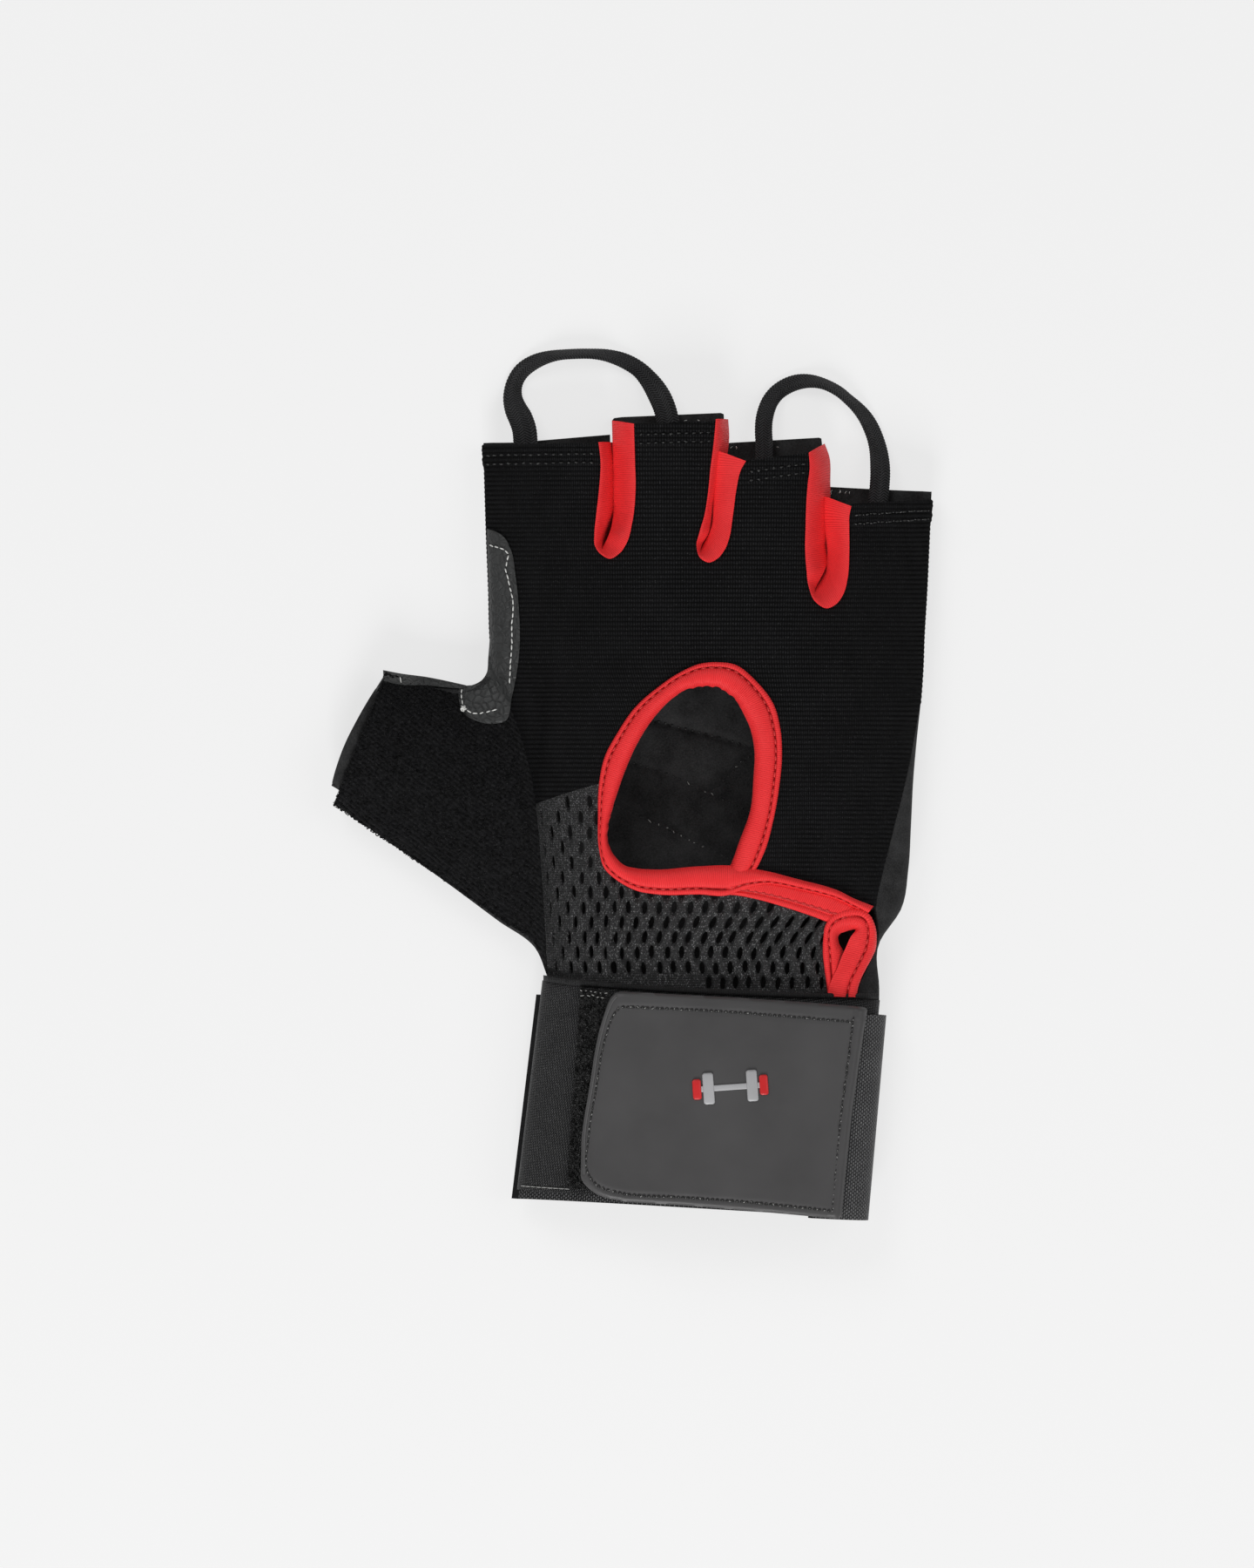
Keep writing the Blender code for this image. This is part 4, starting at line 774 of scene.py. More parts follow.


# The knit, net, elastics, hook tape and braid use these specks as painted glints.
def flecks_group():
    """Sparse bright specks: up to 1 on a speck and 0 beside it. Share is how many places have one."""
    inputs = [("Place", VECTOR, None), ("Size", FLOAT, 0.2), ("Share", FLOAT, 0.1)]
    tree, given, out = group("flecks", inputs, [("Mask", FLOAT)])
    scale = maths(tree, "DIVIDE", 1.0, given["Size"])
    cells = node(tree, "ShaderNodeTexVoronoi", {"Vector": given["Place"], "Scale": scale}).outputs
    edges = {"Value": cells["Distance"], "From Min": 0.55, "From Max": 0.2}
    near = node(tree, "ShaderNodeMapRange", edges).outputs[0]
    draw = node(tree, "ShaderNodeSeparateColor", {0: cells["Color"]}).outputs
    lit = maths(tree, "LESS_THAN", draw[0], given["Share"])
    tree.links.new(times(tree, times(tree, lit, near), draw[1]), out["Mask"])
    return tree


def tone_group():
    """Slow and fine variation round 0, for colour and roughness."""
    inputs = [("Place", VECTOR, None), ("Size", FLOAT, 8.0), ("Grain", FLOAT, 0.3)]
    tree, given, out = group("tone", inputs, [("Slow", FLOAT), ("Fine", FLOAT)])
    for size, socket, detail in ((given["Size"], out["Slow"], 3.0), (given["Grain"], out["Fine"], 2.0)):
        scale = maths(tree, "DIVIDE", 1.0, size)
        noise = node(tree, "ShaderNodeTexNoise", {"Vector": given["Place"], "Scale": scale, "Detail": detail})
        tree.links.new(maths(tree, "SUBTRACT", noise.outputs["Fac"], 0.5), socket)
    return tree


# The shared node groups, by the function that makes each
GROUPS = {}


def placed(tree, build, **inputs):
    """Puts one of the shared groups in a material's tree. build makes it the first time."""
    if build not in GROUPS:
        GROUPS[build] = build()
    return node(tree, "ShaderNodeGroup", inputs, node_tree=GROUPS[build]).outputs


def cloth_place(tree, turn=0.0):
    """A piece's unrolled place in millimetres, turned by some degrees."""
    uv = node(tree, "ShaderNodeUVMap", uv_map="cloth").outputs[0]
    scaled = node(tree, "ShaderNodeVectorMath", {0: uv, "Scale": UV_UNIT / MM}, operation="SCALE").outputs[0]
    if not turn:
        return scaled
    inputs = {"Vector": scaled, "Angle": math.radians(turn)}
    return node(tree, "ShaderNodeVectorRotate", inputs, rotation_type="Z_AXIS").outputs[0]


def solid_place(tree):
    """A piece's own place in millimetres."""
    coordinates = node(tree, "ShaderNodeTexCoord").outputs["Object"]
    return node(tree, "ShaderNodeVectorMath", {0: coordinates, "Scale": 1000.0}, operation="SCALE").outputs[0]


def finish(name, colour, roughness, sheen=0.0, specular=0.5):
    """A Principled material with its tree and shader."""
    made = bpy.data.materials.new(name)
    made.use_nodes = True
    made.diffuse_color = (*colour, 1)
    shader = made.node_tree.nodes["Principled BSDF"]
    values = {
        "Base Color": (*colour, 1),
        "Roughness": roughness,
        "Specular IOR Level": specular,
        "Sheen Weight": sheen,
        "Sheen Roughness": 0.5,
    }
    for socket, value in values.items():
        shader.inputs[socket].default_value = value
    return made, made.node_tree, shader


def dressed(surface, colour, *bumps):
    """Gives a finish its base colour and its bumps, (height, depth in millimetres), one on another."""
    made, tree, shader = surface
    tree.links.new(colour, shader.inputs["Base Color"])
    below = {}
    for height, depth in bumps:
        raised = node(tree, "ShaderNodeBump", {"Height": height, "Distance": depth * MM, **below}).outputs[0]
        below = {"Normal": raised}
    tree.links.new(raised, shader.inputs["Normal"])
    return made


def shaded(tree, colour, factor, low, high):
    """A colour scaled from low to high as factor goes from 0 to 1."""
    scale = node(tree, "ShaderNodeMapRange", {"Value": factor, "To Min": low, "To Max": high}).outputs[0]
    return node(tree, "ShaderNodeVectorMath", {0: colour, "Scale": scale}, operation="SCALE").outputs[0]


def mixed(tree, factor, first, second):
    """A blend of two colours."""
    return node(tree, "ShaderNodeMix", {0: factor, 6: first, 7: second}, data_type="RGBA").outputs[2]


def flecked(tree, colour, place, size, share, amount, bright):
    """A colour with sparse bright specks on it, whose size is in millimetres."""
    mask = placed(tree, flecks_group, Place=place, Size=size, Share=share)["Mask"]
    return mixed(tree, times(tree, mask, amount), colour, bright)


def knit_finish():
    """Black knit: ribs across the hand, wales along it, painted light on both and a few painted glints."""
    surface = finish("ribbed_knit", (0.0045, 0.0045, 0.0049), 0.8, specular=0.12)
    _, tree, shader = surface
    place = cloth_place(tree)
    ribs = placed(tree, ribs_group, Place=place, Pitch=KNIT_RIB / MM, Roundness=0.8)["Height"]
    wales = placed(tree, ribs_group, Place=cloth_place(tree, 90), Pitch=0.64, Roundness=0.7)["Height"]
    tone = placed(tree, tone_group, Place=place, Size=9.0, Grain=0.22)
    stitch = times(tree, ribs, wales)
    # Painted light: the stitches' crests are lightened and the gaps between them darkened, with slow random
    # tone on top.
    lit = plus(tree, maths(tree, "POWER", stitch, 1.4), times(tree, tone["Slow"], 0.5))
    colour = shaded(tree, (0.0110, 0.0110, 0.0120), lit, 0.02, 1.10)
    # Painted glints: bright specks on the stitches' crests.
    glint = times(tree, stitch, 0.55)
    colour = flecked(tree, colour, place, 0.24, 0.22, glint, (0.10, 0.10, 0.105, 1))
    tree.links.new(plus(tree, 0.78, times(tree, tone["Fine"], 0.2)), shader.inputs["Roughness"])
    return dressed(surface, colour, (stitch, 0.20), (tone["Fine"], 0.12))


def net_finish():
    """Glossy black yarn, painted lighter on its beads, with many painted glints."""
    surface = finish("pierced_net", (0.020, 0.020, 0.021), 0.5, specular=0.35)
    tree = surface[1]
    place = cloth_place(tree)
    weave = placed(tree, weave_group, Place=place, Length=0.46, Pitch=0.40)["Height"]
    tone = placed(tree, tone_group, Place=place, Size=5.0, Grain=0.3)
    # Painted light: the weave's beads are lightened on top and darkened between them, with slow random tone.
    lit = plus(tree, maths(tree, "POWER", weave, 1.5), times(tree, tone["Slow"], 0.6))
    colour = shaded(tree, (0.036, 0.036, 0.037), lit, 0.05, 1.35)
    # Painted glints: many bright specks on the strands.
    colour = flecked(tree, colour, place, 0.38, 0.55, 0.95, (0.32, 0.32, 0.325, 1))
    return dressed(surface, colour, (weave, 0.20), (tone["Fine"], 0.15))


def terry_finish():
    """Black towelling, mottled by its pile."""
    surface = finish("towelling", (0.0055, 0.0055, 0.006), 0.9, sheen=0.03, specular=0.12)
    tree = surface[1]
    place = solid_place(tree)
    tone = placed(tree, tone_group, Place=place, Size=0.8, Grain=0.3)
    lit = plus(tree, 0.5, times(tree, tone["Slow"], 1.8))
    colour = shaded(tree, (0.0065, 0.0065, 0.007), lit, 0.0, 2.2)
    colour = flecked(tree, colour, place, 0.26, 0.10, 0.45, (0.09, 0.09, 0.09, 1))
    return dressed(surface, colour, (tone["Slow"], 0.35), (tone["Fine"], 0.30))


def suede_finish():
    """Soft dark suede with slow mottling and short fibres."""
    surface = finish("palm_suede", (0.013, 0.013, 0.0135), 0.85, sheen=0.05, specular=0.15)
    tree = surface[1]
    place = solid_place(tree)
    tone = placed(tree, tone_group, Place=place, Size=5.0, Grain=0.35)
    mottled = plus(tree, 0.5, plus(tree, tone["Slow"], times(tree, tone["Fine"], 0.8)))
    colour = shaded(tree, (0.024, 0.024, 0.0245), mottled, 0.0, 2.0)
    colour = flecked(tree, colour, place, 0.24, 0.25, 0.30, (0.085, 0.085, 0.085, 1))
    return dressed(surface, colour, (tone["Slow"], 0.2), (tone["Fine"], 0.08))


def leather_finish():
    """Grey grained leather, with painted shade in the grooves between its grains."""
    surface = finish("grained_leather", (0.042, 0.044, 0.044), 0.5, specular=0.45)
    _, tree, shader = surface
    place = solid_place(tree)
    cells = node(tree, "ShaderNodeTexVoronoi", {"Vector": place, "Scale": 0.62}, feature="DISTANCE_TO_EDGE")
    grain = maths(tree, "MINIMUM", times(tree, cells.outputs["Distance"], 5.0), 1.0)
    tone = placed(tree, tone_group, Place=place, Size=4.0, Grain=0.25)
    # Painted shade: darker in the grooves between the grains and lighter on their tops, times random tone.
    grain_shade = plus(tree, 0.45, times(tree, grain, 0.75))
    tone_and_grain_shade = times(tree, plus(tree, 0.5, tone["Slow"]), grain_shade)
    colour = shaded(tree, (0.026, 0.027, 0.027), tone_and_grain_shade, 0.45, 1.60)
    tree.links.new(plus(tree, 0.52, times(tree, tone["Slow"], 0.3)), shader.inputs["Roughness"])
    return dressed(surface, colour, (grain, 0.14), (tone["Fine"], 0.05))


def tape_finish():
    """Red ribbed tape, ribs across its run, painted light on the ribs and painted shade by its sewn line."""
    surface = finish("red_tape", (0.86, 0.032, 0.036), 0.5, sheen=0.04, specular=0.22)
    tree = surface[1]
    ribs = placed(tree, ribs_group, Place=cloth_place(tree, 90), Pitch=0.45, Roundness=0.8)["Height"]
    tone = placed(tree, tone_group, Place=solid_place(tree), Size=4.0, Grain=0.22)
    # Painted light: lighter red on the ribs' crests and darker in their valleys, plus random tone.
    lit = plus(tree, times(tree, ribs, 0.8), times(tree, tone["Slow"], 0.5))
    lit = plus(tree, lit, times(tree, tone["Fine"], 0.5))
    colour = mixed(tree, lit, (0.74, 0.014, 0.018, 1), (1.0, 0.044, 0.048, 1))
    # Painted shade: dark red in the groove along the sewn line, fading out away from it.
    across = node(tree, "ShaderNodeSeparateXYZ", {0: cloth_place(tree)}).outputs["Y"]
    off_seam = maths(tree, "MULTIPLY", maths(tree, "ABSOLUTE", across), 1 / 0.42, clamp=True)
    colour = mixed(tree, off_seam, (0.34, 0.004, 0.006, 1), colour)
    return dressed(surface, colour, (ribs, 0.07), (tone["Fine"], 0.05))


def elastic_finish(name, length, pitch, light, turn=-32):
    """Black elastic woven of glossy beads of yarn, with a painted light grey highlight on each."""
    surface = finish(name, (0.022, 0.022, 0.023), 0.45, specular=0.25)
    tree = surface[1]
    weave = placed(tree, weave_group, Place=cloth_place(tree, turn), Length=length, Pitch=pitch)["Height"]
    place = cloth_place(tree)
    tone = placed(tree, tone_group, Place=place, Size=6.0, Grain=0.3)
    # Painted light: each bead is lightened on top up to a light grey and stays near black between beads.
    bead = times(tree, maths(tree, "POWER", weave, 2.2), plus(tree, 0.9, tone["Slow"]))
    colour = mixed(tree, bead, (0.004, 0.004, 0.0045, 1), (light, light, light * 1.02, 1))
    # Painted glints: bright specks on the beads.
    bright = (light * 3, light * 3, light * 3, 1)
    colour = flecked(tree, colour, place, 0.3, 0.30, times(tree, weave, 0.5), bright)
    return dressed(surface, colour, (weave, 0.16), (tone["Fine"], 0.08))


def hook_finish():
    """Black hook tape with painted glints on its hooks."""
    surface = finish("hook_tape", (0.010, 0.010, 0.010), 0.4, specular=0.3)
    tree = surface[1]
    place = cloth_place(tree)
    tone = placed(tree, tone_group, Place=place, Size=0.8, Grain=0.35)
    # Painted glints: bright specks on the near-black tape and its hooks.
    colour = flecked(tree, (0.001, 0.001, 0.001, 1), place, 0.28, 0.13, 0.8, (0.10, 0.10, 0.10, 1))
    return dressed(surface, colour, (tone["Slow"], 0.6), (tone["Fine"], 0.3))


def rubber_finish(name, colour, roughness):
    """Matt moulded rubber of a colour, slightly uneven."""
    surface = finish(name, colour, roughness, specular=0.4)
    _, tree, shader = surface
    tone = placed(tree, tone_group, Place=solid_place(tree), Size=14.0, Grain=0.5)
    mottled = shaded(tree, colour, plus(tree, 0.5, tone["Slow"]), 0.82, 1.18)
    tree.links.new(plus(tree, roughness, times(tree, tone["Slow"], 0.25)), shader.inputs["Roughness"])
    return dressed(surface, mottled, (tone["Fine"], 0.02))


def braid_finish():
    """Black braid, its strands in zigzag columns as in its shape."""
    surface = finish("flat_braid", (0.016, 0.016, 0.017), 0.55, specular=0.3)
    tree = surface[1]
    place = cloth_place(tree)
    split = node(tree, "ShaderNodeSeparateXYZ", {0: place}).outputs
    zigzag = maths(tree, "PINGPONG", split["Y"], BRAID_COLUMN / MM)
    slanted = plus(tree, split["X"], times(tree, zigzag, BRAID_SLANT))
    strands = wave(tree, times(tree, slanted, MM / BRAID_PITCH))
    tone = placed(tree, tone_group, Place=place, Size=5.0, Grain=0.2)
    # Painted light: the strands are lightened on top and darkened between them, with slow random tone.
    lit = plus(tree, maths(tree, "POWER", strands, 1.5), times(tree, tone["Slow"], 0.7))
    colour = shaded(tree, (0.015, 0.015, 0.016), lit, 0.15, 1.9)
    # Painted glints: bright specks on the strands.
    colour = flecked(tree, colour, place, 0.2, 0.10, 0.5, (0.11, 0.11, 0.115, 1))
    return dressed(surface, colour, (strands, 0.12), (tone["Fine"], 0.06))


def thread_finish(name, colour, roughness=0.5):
    """Spun thread of a colour."""
    surface = finish(name, colour, roughness, specular=0.4)
    tree = surface[1]
    tone = placed(tree, tone_group, Place=solid_place(tree), Size=1.0, Grain=0.15)
    spun = shaded(tree, colour, plus(tree, 0.5, tone["Slow"]), 0.7, 1.3)
    return dressed(surface, spun, (tone["Fine"], 0.05))


def floor_finish():
    """An even pale floor that glows a little, so it stays white under soft light."""
    made, tree, shader = finish("pale_floor", (0.22, 0.22, 0.22), 0.9, specular=0.1)
    tone = placed(tree, tone_group, Place=solid_place(tree), Size=90.0, Grain=4.0)
    light = shaded(tree, (0.69, 0.69, 0.69), plus(tree, 0.5, tone["Slow"]), 0.995, 1.005)
    tree.links.new(light, shader.inputs["Emission Color"])
    shader.inputs["Emission Strength"].default_value = 1.0
    return made


def over(points, base, lift, step=0.5 * MM):
    """A line over a surface, from photograph pixels, at a lift above it."""
    plan = resampled(photo(points), step)
    line = base(plan)
    line[:, 2] += lift
    return line


def link_stage(made):
    bpy.context.scene.collection.objects.link(made)
    return made


# Camera and pull loops


def overhead_camera():
    """The photograph's camera: straight down, with its whole frame in view."""
    data = bpy.data.cameras.new("overhead_camera")
    data.sensor_fit = "VERTICAL"
    data.sensor_height = 36
    data.lens = data.sensor_height * CAMERA_HEIGHT / (PHOTO_SIZE[1] * PIXEL)
    made = link_stage(bpy.data.objects.new("overhead_camera", data))
    middle = photo([(PHOTO_SIZE[0] / 2, PHOTO_SIZE[1] / 2)])[0]
    made.location = HAND_ORIGIN + Vector((*middle, CAMERA_HEIGHT + VIEW_HEIGHT))
    bpy.context.scene.camera = made


def out_of_finger(travelled):
    """How far a loop has come down to the ground, from 0 at its feet to 1."""
    from_foot = np.minimum(travelled, travelled[-1] - travelled)
    return smoothstep(0, 1, (from_foot - LOOP_INSIDE) / LOOP_DESCENT)


def loop_route(name):
    """The middle line of a pull loop: on the palm layer in the fingers, on the ground past them."""
    plan = in_hand(LOOP_ROUTES[name])
    inside = sole_point(unrolled(plan))[:, 2] + PALM_WALL + LOOP_LIFT + LOOP_CORE / 2
    travelled = lengths_along(plan)
    points = np.column_stack([plan, inside + (LOOP_CORE / 2 - inside) * out_of_finger(travelled)])
    knots = travelled / travelled[-1]
    shares = np.linspace(0, 1, 26)
    return np.stack([smooth_curve(shares, knots, points[:, axis]) for axis in range(3)], axis=1)


def pull_loop(name, turned, foot_widths, bow):
    """A flat braid that turns partly on edge at its top, by some degrees. foot_widths are added at its
    two feet, and bow is how far it bows outward at BOW_SHARES, both in millimetres."""
    route = loop_route(name)
    length = lengths_along(route)[-1]
    centre = counted(route, int(length / FINE_STEP))
    travelled = lengths_along(centre)
    share = travelled / travelled[-1]
    tangent = np.gradient(centre, axis=0)
    tangent /= np.linalg.norm(tangent, axis=1, keepdims=True)
    side = np.cross(tangent, (0, 0, 1))
    side /= np.linalg.norm(side, axis=1, keepdims=True)
    up = np.cross(side, tangent)
    bowed = smooth_curve(share, np.array(BOW_SHARES), np.array(bow) * MM)
    centre = centre - bowed[:, None] * side
    tilt = math.radians(turned) * smoothstep(0.28, 0.48, share) * smoothstep(0.76, 0.54, share)
    half_width = BRAID_WIDTH / 2 + foot_widths[0] * MM / 2 * smoothstep(0.30, 0.16, share)
    half_width = half_width + foot_widths[1] * MM / 2 * smoothstep(0.70, 0.84, share)
    half_height = np.full(len(share), BRAID_THICKNESS / 2)
    rests = half_width * np.abs(np.sin(tilt)) + half_height * np.cos(tilt)
    centre[:, 2] += (rests - LOOP_CORE / 2) * out_of_finger(travelled)
    flat_side = np.cos(tilt)[:, None] * side + np.sin(tilt)[:, None] * up
    flat_up = np.cos(tilt)[:, None] * up - np.sin(tilt)[:, None] * side
    around = np.linspace(0, 2 * math.pi, 32, endpoint=False)
    across = np.sign(np.cos(around)) * np.abs(np.cos(around)) ** 0.8
    rise = np.sign(np.sin(around)) * np.abs(np.sin(around)) ** 0.8
    over_width = (across + 1) * BRAID_WIDTH / 2
    zigzag = BRAID_COLUMN - np.abs(over_width % (2 * BRAID_COLUMN) - BRAID_COLUMN)
    strands = humps((travelled[:, None] + BRAID_SLANT * zigzag[None, :]) / BRAID_PITCH)
    seams = dip(zigzag - BRAID_COLUMN, 0.16 * MM) + dip(zigzag, 0.16 * MM)
    relief = 0.11 * MM * (strands - 0.6) - 0.05 * MM * seams[None, :]
    points = centre[:, None, :]
    points = points + flat_side[:, None, :] * (across[None, :] * (half_width[:, None] + relief))[:, :, None]
    points = points + flat_up[:, None, :] * (rise[None, :] * (half_height[:, None] + relief))[:, :, None]
    points[:, :, 2] = np.maximum(points[:, :, 2], 0.0)
    uvs = np.stack(np.broadcast_arrays(travelled[:, None], over_width[None, :]), axis=2)
    made = grid_object(name + "_braid", points, uvs, "braid", (name,), flip=True)
    path = [tuple(Vector(point) + HAND_ORIGIN) for point in centre[::6]]
    lengths_along(np.array(path))[-1]


# Knit back, net and palm


def straight(first, last, step):
    count = max(2, int(math.dist(first, last) / step) + 1)
    return np.linspace(first, last, count)


def ring_of(*lines):
    """Lines joined into one ring, without doubled corners."""
    points = np.vstack(lines)
    return points[np.linalg.norm(points - np.roll(points, 1, axis=0), axis=1) > 0.04 * MM]


def on_flat(points, step=0.7 * MM, smooth=True):
    """A line in photograph pixels as unrolled places."""
    return unrolled(resampled(photo(points), step, smooth=smooth))


def back_tips():
    """The fingertips' edge of the back from left to right, in and out of the slots."""
    lines = []
    for index, tip in enumerate(TIPS_BACK):
        lines.append(on_flat(tip, smooth=False))
        if index < len(SLOT_TAPES):
            tape = np.array(SLOT_TAPES[index], float)
            lines.append(on_flat(tape[:, :2] * 0.92 + tape[:, 2:] * 0.08))
    return np.vstack(lines)


def wrap_line(step=0.6 * MM):
    """The edge of the palm's wrap on the back, from the cuff up, as unrolled places of the back."""
    along = np.arange(-0.02, WRAP_EDGE[-1][0], step / HAND_LENGTH)
    knots, edge = np.array(WRAP_EDGE).T
    share = np.minimum(smooth_curve(along, knots, edge), section(along, "right"))
    return unrolled(np.stack([share * HAND_WIDTH, along * HAND_LENGTH], axis=1))


def wrist_edge(places):
    """The panels' bottom edge, at unrolled places across."""
    along = -CUFF_SLOPE * (WRIST_MIDDLE + WRIST_HALF * np.sin(places / FLAT_RADIUS)) - 0.3 * MM
    return np.stack([places, along], axis=1)


def keyhole_line(first, last, share):
    """A line under the keyhole's tape, at a share of the way from its outer edge to its inner one."""
    rows = np.array(KEYHOLE)[first:last]
    return on_flat(rows[:, :2] * (1 - share) + rows[:, 2:] * share)


def knit_ring():
    """The knit's outline in unrolled places."""
    side_step = KNIT_RIB / 4
    net_top = on_flat(NET_TOP)
    left = straight((-SIDE, net_top[0, 1]), (-SIDE, on_flat(TIPS_BACK[0])[0, 1]), side_step)
    tips = back_tips()
    wrap = wrap_line()
    hem = on_flat(HEM_TAPE_TOP)
    wrap = wrap[wrap[:, 1] > hem[-1, 1] - 0.6 * MM][::-1]
    right = straight((SIDE, tips[-1, 1]), (SIDE, wrap[0, 1]), side_step)
    hem = hem - (0, 1.0 * MM)
    return ring_of(left, tips, right, wrap, hem[::-1], keyhole_line(2, 18, 0.4), net_top[::-1])


def knit_lines(flat):
    """How far along its ribs' pitch the knit is: its ribs droop to the right above the hem tape."""
    droop = 0.10 * smoothstep(0.0, 0.05, flat[:, 0]) * smoothstep(0.075, 0.02, flat[:, 1])
    ripple = 0.25 * MM * np.sin(flat[:, 0] / 0.013 + flat[:, 1] / 0.021)
    return flat[:, 1] + droop * np.maximum(flat[:, 0], 0) + ripple


def knit_relief(flat):
    """Ribs, the folded hem at the fingertips and its two sewn grooves."""
    ribs = humps(knit_lines(flat) / KNIT_RIB, 0.7)
    tip = np.full(len(flat), -np.inf)
    x = hand_point(flat, True)[:, 0]
    tip_lines = [photo(line) for line in TIPS_BACK]
    bounds = [(tip_lines[i][-1, 0] + tip_lines[i + 1][0, 0]) / 2 for i in range(3)]
    finger = np.searchsorted(bounds, x)
    for index, line in enumerate(tip_lines):
        here = finger == index
        tip[here] = np.interp(x[here], line[:, 0], line[:, 1])
    below = tip - flat[:, 1]
    hem = 0.35 * MM * smoothstep(5.4 * MM, 4.8 * MM, below)
    groove = 0.16 * MM * sum(dip(below - row, 0.35 * MM) for row in TIP_STITCH_ROWS)
    rounding = -0.25 * MM * smoothstep(0.5 * MM, 0.0, below)
    return 0.26 * MM * (ribs - 0.5) + hem - groove + rounding


def back_of_knit():
    """The ribbed knit over the back of the hand and the fingers."""
    steps = (1.3 * MM, KNIT_RIB / 5)
    rings = [knit_ring()]
    panel("knit_back", rings, back_point, 1, steps, 1.0 * MM, "back_panel", "knit", knit_relief, KNIT_LINING)


def net_ring():
    """The net's outline in unrolled places."""
    net_top = on_flat(NET_TOP)
    foot = on_flat(np.array(NET_TAPE)[1:-1, 2:]) + (0, 1.0 * MM)
    slit = on_flat(NET_SLIT_SIDE)
    bottom = wrist_edge(np.linspace(slit[-1, 0], -SIDE, 90))
    left = straight((-SIDE, bottom[-1, 1]), (-SIDE, net_top[0, 1]), 0.8 * MM)
    return ring_of(left, net_top, keyhole_line(17, 26, 0.4), foot, slit, bottom)


def net_places():
    """Middles of the net's holes in the hand's plan, with how far each leans."""
    random = np.random.default_rng(4)
    places = []
    for row in range(13):
        for step in range(26):
            x = -44.0 * MM + (step + 0.5 * (row % 2)) * NET_PITCH
            y = 1.5 * MM + row * NET_PITCH
            lean = 0.20 * float(smoothstep(-0.01, 0.02, x)) - 0.10 * float(smoothstep(-0.025, -0.035, x))
            jitter = random.normal(0, 0.12 * MM, 2)
            places.append((x + lean * (y - 0.012) + jitter[0], y + jitter[1], lean))
    return places


def net_holes(ring):
    """Rings of the net's holes in unrolled places."""
    holes = []
    inside = unrolled(np.array([place[:2] for place in net_places()]))
    clear = holds(ring, inside) & (distance_to([ring], inside) > 1.55 * MM)
    turn = np.linspace(0, 2 * math.pi, 11)[:-1]
    for flat, place, kept in zip(inside, net_places(), clear):
        if not kept:
            continue
        across = NET_HOLE[0] * np.cos(turn)
        down = NET_HOLE[1] * np.sin(turn)
        holes.append(np.stack([flat[0] + across + place[2] * down, flat[1] + down], axis=1))
    return holes


def net_relief(centres):
    """A function that gives the strands round the holes whose middles are known."""
    def raise_by(flat):
        nearest = np.full(len(flat), 9.0)
        for centre in centres:
            offset = (flat - centre) / NET_HOLE
            nearest = np.minimum(nearest, np.hypot(offset[:, 0], offset[:, 1]))
        strands = np.sin(flat[:, 0] / (0.16 * MM) + 2 * np.sin(flat[:, 1] / (0.5 * MM))) * 0.07 * MM
        return -0.70 * MM * smoothstep(1.70, 0.95, nearest) + strands

    return raise_by


def wrist_net():
    """The pierced net between knit and cuff."""
    ring = net_ring()
    holes = net_holes(ring)
    relief = net_relief([hole.mean(axis=0) for hole in holes])
    steps = (0.40 * MM, 0.40 * MM)
    panel(
        "wrist_net", [ring, *holes], back_point, 1, steps, 1.1 * MM, "mesh_panel", "net", relief, NET_LINING
    )


def palm_slot(line, left_top, right_top):
    """A slot's narrow outline in the palm, from the left fingertip's edge down and up to the right one."""
    middle = resampled(photo(line), 0.8 * MM)
    left = middle - (0.3 * MM, 0)
    right = (middle + (0.3 * MM, 0))[::-1]
    return np.vstack([left[left[:, 1] < left_top], right[right[:, 1] < right_top]])


def palm_ring():
    """The palm's outline in unrolled places, with its wrap round the right side."""
    wrap = wrap_line(0.8 * MM)
    wrap[:, 0] = math.pi * FLAT_RADIUS - wrap[:, 0]
    lines = []
    for index, tip in enumerate(TIPS_PALM):
        lines.append(on_flat(tip, smooth=False))
        if index < len(PALM_SLOTS):
            left_top, right_top = photo([tip[-1], TIPS_PALM[index + 1][0]])[:, 1]
            lines.append(unrolled(palm_slot(PALM_SLOTS[index], left_top, right_top)))
    tips = np.vstack(lines)
    bottom = wrist_edge(np.linspace(wrap[0, 0], -SIDE, 120))
    wrap = wrap[wrap[:, 1] > bottom[0, 1] + 0.3 * MM]
    left = straight((-SIDE, bottom[-1, 1]), (-SIDE, tips[0, 1]), 0.8 * MM)
    right = straight((SIDE, tips[-1, 1]), (SIDE, wrap[-1, 1] + 0.4 * MM), 0.8 * MM)
    return ring_of(left, tips, right, wrap[::-1], bottom)


def quilting(flat):
    """The palm's padding on its inner side: pillows between sewn lines."""
    lines = [on_flat(line) for line in QUILT_LINES]
    away = distance_to(lines, flat, closed=False)
    return -0.85 * MM * np.exp(-away / (2.6 * MM)) - 0.45 * MM * dip(away, 0.60 * MM)


def suede_relief(flat):
    return 0.06 * MM * (np.sin(flat[:, 0] / 0.006 + 1.7 * np.sin(flat[:, 1] / 0.009)) - 1)


def on_padding(plan):
    """Points of the palm's inner side over plan points."""
    line = sole_point(unrolled(plan))
    line[:, 2] += PALM_WALL - 1.15 * MM
    return line


